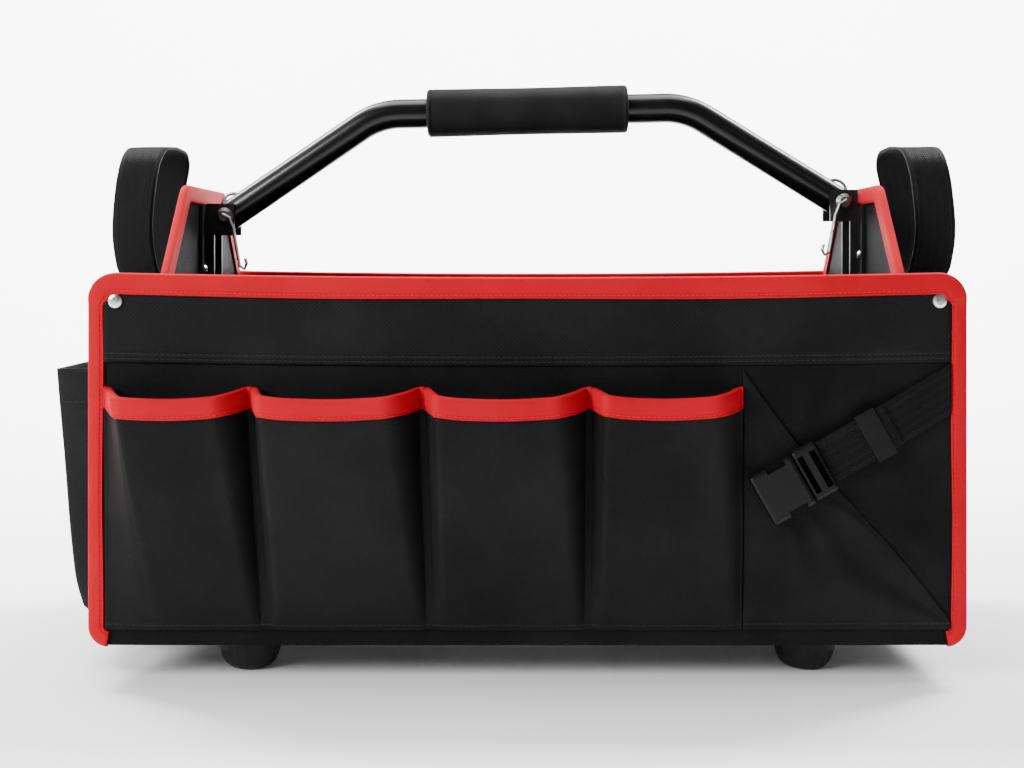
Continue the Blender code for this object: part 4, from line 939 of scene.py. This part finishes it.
# Handle. A 19 mm steel tube, bent at two shoulders and bolted in a bracket at each end,
# with a gloss black powder coat that has an orange-peel skin and rubbed spots.
def powder_finish(name, dark, light, gloss, clear):
    """Powder coat: orange peel under a clear gloss, and rubbed spots that are paler."""
    paint = Paint(name)
    place = paint.object_place()
    peel = paint.noise(place, 420.0, 2.0, 0.5)
    rubbed = paint.noise(place, 34.0, 4.0, 0.62).held(0.48, 0.78)
    colour = paint.mix(rubbed * 0.6 + peel * 0.15, grey(dark), grey(light))
    normal = paint.bump(peel, 0.00012, 0.35)
    return paint.finish(Base_Color=colour, Roughness=1 - gloss + rubbed * 0.16, Normal=normal,
                        Coat_Weight=clear, Coat_Roughness=0.14, Specular_IOR_Level=0.25)


tube_coat = powder_finish("tube_coat", 0.0016, 0.005, 0.70, 0.22)
bracket_coat = powder_finish("bracket_coat", 0.004, 0.014, 0.5, 0.08)
TUBE_RADIUS = 9.5 * MM
RUN_HEIGHT = 338 * MM
HALF_RUN = 100 * MM
BEND_RADIUS = 48 * MM
BOLT_HALF_SPAN = 199 * MM
LEG_DROP = 64.2 * MM
PAST_BOLT = 5.5 * MM
HANDLE_TILT = math.radians(1.3)
END_RADIUS_SHARE = 0.93
END_CHAMFER_SHARE = 0.08
handle_turn = np.array([
    [math.cos(HANDLE_TILT), 0, -math.sin(HANDLE_TILT)],
    [0, 1, 0],
    [math.sin(HANDLE_TILT), 0, math.cos(HANDLE_TILT)],
])
handle_middle = np.array([(EAR_REACH[1] - EAR_REACH[-1]) / 2, 0, RUN_HEIGHT])


def make_rod(name, centres, radii, finish, sides=48):
    """A round rod: a circle of each radius square to the path at each centre, one point at
    each end. The path lies in an upright plane, so level Y is always square to it."""
    way = path_ways(centres)
    level = np.array([0.0, 1.0, 0.0])
    square = np.cross(way, level)
    turn = np.linspace(0, 2 * np.pi, sides, endpoint=False)
    ring = square[:, None] * np.cos(turn)[None, :, None] + level * np.sin(turn)[None, :, None]
    rings = centres[:, None] + ring * np.asarray(radii)[:, None, None]
    points = np.concatenate([rings.reshape(-1, 3), centres[:1], centres[-1:]])
    index = np.arange(len(centres) * sides).reshape(len(centres), sides)
    around = np.concatenate([index, index[:, :1]], axis=1)
    first = np.stack([np.full(sides, index.size), around[0, 1:], index[0]], axis=-1)
    last = np.stack([np.full(sides, index.size + 1), index[-1], around[-1, 1:]], axis=-1)
    faces = grid_faces(around).tolist() + first.tolist() + last.tolist()
    flat = np.stack([points[:, 0], points[:, 2]], axis=-1)
    piece = put_mesh(name, points, faces, flat, finish)
    return piece


leg_slope = math.atan2(LEG_DROP, BOLT_HALF_SPAN - HALF_RUN)
bend_start_x = HALF_RUN - BEND_RADIUS * math.tan(leg_slope / 2)
angle = np.linspace(0, leg_slope, 24)
bend_x = bend_start_x + BEND_RADIUS * np.sin(angle)
bend = np.stack([bend_x, 0 * angle, -BEND_RADIUS * (1 - np.cos(angle))], axis=1)
leg_end = np.array([BOLT_HALF_SPAN, 0, -LEG_DROP])
leg_end += PAST_BOLT * np.array([math.cos(leg_slope), 0, -math.sin(leg_slope)])
leg = bend[-1] + (leg_end - bend[-1]) * np.linspace(0, 1, 40)[1:, None]
right_half = np.concatenate([np.array([[0, 0, 0.0]]), bend, leg])
tube_path = np.concatenate([right_half[:0:-1] * np.array([-1, 1, 1]), right_half])
radii = np.full(len(tube_path), TUBE_RADIUS)
radii[[0, -1]] = TUBE_RADIUS * END_RADIUS_SHARE
tube_path[1] = lerp(tube_path[0], tube_path[2], END_CHAMFER_SHARE)
tube_path[-2] = lerp(tube_path[-1], tube_path[-3], END_CHAMFER_SHARE)
tube_path = tube_path @ handle_turn.T + handle_middle
tube = make_rod("handle_tube_skin", tube_path, radii, tube_coat)
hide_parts("handle_tube")
for node in ("bracket_left", "bracket_right"):
    coat(node, bracket_coat)

# Small fittings. Nickel-plated steel: rings and snap clips on the brackets, and the rivets of
# the brackets and of the front. The bolts through the brackets are of darker steel.
def plated_finish(name, bright, worn, roughest):
    """Bare plated metal: a hazy skin whose gloss varies, with duller spots."""
    paint = Paint(name)
    place = paint.object_place()
    haze = paint.noise(place, 240.0, 3.0, 0.6)
    spots = paint.noise(place, 90.0, 4.0, 0.6).held(0.45, 0.8)
    return paint.finish(
        Base_Color=paint.mix(spots, bright, worn), Metallic=1.0, Roughness=roughest - haze * 0.18,
        Normal=paint.bump(haze, 0.00006, 0.4),
    )


nickel = plated_finish("nickel_plate", (0.66, 0.66, 0.65, 1), (0.42, 0.41, 0.40, 1), 0.38)
bolt_steel = plated_finish("bolt_steel", (0.16, 0.16, 0.165, 1), (0.07, 0.07, 0.07, 1), 0.48)
for hand in ("left", "right"):
    for part in ("ring", "clip", "rivet_front"):
        coat(f"{part}_{hand}", nickel)
    for end in ("front", "back"):
        coat(f"bracket_rivet_{hand}_{end}", nickel)
    coat(f"pivot_bolt_{hand}", bolt_steel)

# Feet. Four domed feet of moulded black rubber under the floor, each screwed up into its
# stiff board.
foot_rubber = moulded_finish("foot_rubber", 0.006, 0.02, 0.52, 700.0)
for end in ("front", "back"):
    for hand in ("left", "right"):
        coat(f"foot_{end}_{hand}", foot_rubber)

# Grip. A sleeve of closed-cell foam pushed over the middle of the tube: soft rounded ends,
# a faint sag between them, and a matt skin with fine pores.
grip_low, grip_high = (np.array(corner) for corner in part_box("handle_grip"))
GRIP_WIDE = 31 * MM
GRIP_BORE = 19.6 * MM
GRIP_ROUND = 2.2 * MM
GRIP_SAG = 0.35 * MM
grip_middle = (grip_low + grip_high) / 2 - SHELL_MIDDLE
grip_span = grip_high[0] - grip_low[0]
grip_half = (grip_span - GRIP_WIDE * math.sin(HANDLE_TILT)) / 2 / math.cos(HANDLE_TILT)


def turned_sleeve(half, radius, bore, corner, around=97, along=80):
    """A profile carried round an axis: out along the left end, along the skin, in along the
    right end, and back through the bore. Returns (profile, around) points about the middle."""
    arc = np.linspace(0, np.pi / 2, 9)
    skin = np.linspace(-half + corner, half - corner, along)
    sag = radius - GRIP_SAG * np.sin(np.pi * (skin + half) / (2 * half)) ** 2
    inset, drop = corner * (1 - np.sin(arc)), corner * (1 - np.cos(arc))
    left = np.stack([-half + inset, radius - drop])[:, ::-1]
    right = np.stack([half - inset, radius - drop])
    hole = np.stack([np.linspace(half, -half, 30), np.full(30, bore)])
    profile = np.concatenate([left, np.stack([skin, sag]), right, hole, left[:, :1]], axis=1)
    turn = np.linspace(0, 2 * np.pi, around)
    along_x, out = profile[0][:, None], profile[1][:, None]
    return np.stack([along_x + 0 * turn, out * np.cos(turn), out * np.sin(turn)], axis=-1)


def make_ring_mesh(name, points, finish):
    """A torus-like mesh: the grid's last row and last column are the first ones again."""
    rows, columns = points.shape[0] - 1, points.shape[1] - 1
    index = np.arange(rows * columns).reshape(rows, columns)
    index = np.concatenate([index, index[:1]])
    index = np.concatenate([index, index[:, :1]], axis=1)
    across, up = lengths(points, 1)[:columns], lengths(points, 0)[:rows]
    flat = np.stack(np.meshgrid(across, up), axis=-1).reshape(-1, 2)
    once = points[:-1, :-1].reshape(-1, 3)
    piece = put_mesh(name, once, grid_faces(index).tolist(), flat, finish)
    return piece


foam_paint = Paint("grip_foam")
foam_place = foam_paint.object_place()
pores = foam_paint.noise(foam_place, 1100.0, 3.0, 0.65)
blotch = foam_paint.noise(foam_place, 40.0, 3.0, 0.5).held(0.35, 0.7)
foam = foam_paint.finish(
    Base_Color=foam_paint.mix(pores * 0.6 + blotch * 0.4, grey(0.003), grey(0.010)),
    Roughness=0.82 - blotch * 0.08, Normal=foam_paint.bump(pores, 0.00022, 0.6),
    Specular_IOR_Level=0.14,
)
sleeve = turned_sleeve(grip_half, GRIP_WIDE / 2, GRIP_BORE / 2, GRIP_ROUND)
grip = make_ring_mesh("grip_sleeve", sleeve @ handle_turn.T + grip_middle, foam)
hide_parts("handle_grip")

# Studio. A seamless pale sheet for the floor and wall, a broad soft light from the front
# left, weaker ones from the right and above, two on the sheet, and a lens level with the rim.
PAPER_REACH = 3.0
PAPER_HALF_WIDTH = 6.0
PAPER_BEND_START = 1.4
PAPER_BEND_RADIUS = 1.2
PAPER_RISE = 4
PAPER_BELOW = 0.5 * MM
sweep_paint = Paint("studio_paper")
paper = sweep_paint.noise(sweep_paint.object_place(), 3.0, 2.0, 0.5)
paper_colour = sweep_paint.mix(paper, grey(0.90), grey(0.93))
studio_paper = sweep_paint.finish(Base_Color=paper_colour, Roughness=0.9)
u, v = unit_grid(3, 40)
reach = lerp(-PAPER_REACH, PAPER_REACH, v)
bend_run = math.pi / 2 * PAPER_BEND_RADIUS
turned = np.clip((reach - PAPER_BEND_START) / bend_run, 0, 1) * np.pi / 2
paper_y = np.minimum(reach, PAPER_BEND_START) + PAPER_BEND_RADIUS * np.sin(turned)
past_bend = np.maximum(reach - PAPER_BEND_START - bend_run, 0)
paper_z = PAPER_BEND_RADIUS * (1 - np.cos(turned)) + past_bend * PAPER_RISE - PAPER_BELOW
paper_x = lerp(-PAPER_HALF_WIDTH, PAPER_HALF_WIDTH, u)
paper_points = np.stack([paper_x, paper_y, paper_z], axis=-1).reshape(-1, 3)
paper_faces = grid_faces(np.arange(u.size).reshape(u.shape))
paper_mesh = bpy.data.meshes.new("studio_sweep")
paper_mesh.from_pydata(paper_points.tolist(), [], paper_faces.tolist())
paper_mesh.polygons.foreach_set("use_smooth", np.full(len(paper_faces), True))
paper_mesh.materials.append(studio_paper)
sweep = bpy.data.objects.new("studio_sweep", paper_mesh)
bpy.context.scene.collection.objects.link(sweep)

world = bpy.data.worlds.new("studio")
world.use_nodes = True
background = world.node_tree.nodes["Background"]
background.inputs["Color"].default_value = grey(1.0)
background.inputs["Strength"].default_value = 0.11
bpy.context.scene.world = world


def soft_light(name, place, aim, size, power):
    """A square area light at place, turned to look at aim."""
    lamp = bpy.data.lights.new(name, "AREA")
    lamp.shape = "SQUARE"
    lamp.size = size
    lamp.energy = power
    holder = bpy.data.objects.new(name, lamp)
    holder.location = place
    holder.rotation_euler = (Vector(aim) - Vector(place)).to_track_quat("-Z", "Y").to_euler()
    bpy.context.scene.collection.objects.link(holder)


soft_light("key_light", (-1.5, -1.25, 1.05), (0, 0, 0.15), 0.9, 74)
soft_light("fill_light", (1.3, -1.6, 0.8), (0, 0, 0.15), 1.0, 2.0)
soft_light("top_light", (0.0, 0.2, 1.9), (0, 0, 0.1), 1.4, 46)
soft_light("paper_light_left", (-1.3, 0.9, 1.9), (-0.4, 2.5, 0.8), 1.2, 300)
soft_light("paper_light_right", (1.3, 0.9, 1.9), (0.4, 2.5, 0.8), 1.2, 300)

CAMERA_DISTANCE = 0.9
CAMERA_HEIGHT = 0.241
lens = bpy.data.cameras.new("photo_camera")
lens.sensor_width = 36
lens.lens = 48.6
lens.shift_x = -0.0151
lens.shift_y = -0.121
camera = bpy.data.objects.new("photo_camera", lens)
camera.location = (SHELL_MIDDLE[0], SHELL_MIDDLE[1] - CAMERA_DISTANCE, CAMERA_HEIGHT)
camera.rotation_euler = (math.pi / 2, 0, 0)
bpy.context.scene.collection.objects.link(camera)
bpy.context.scene.camera = camera
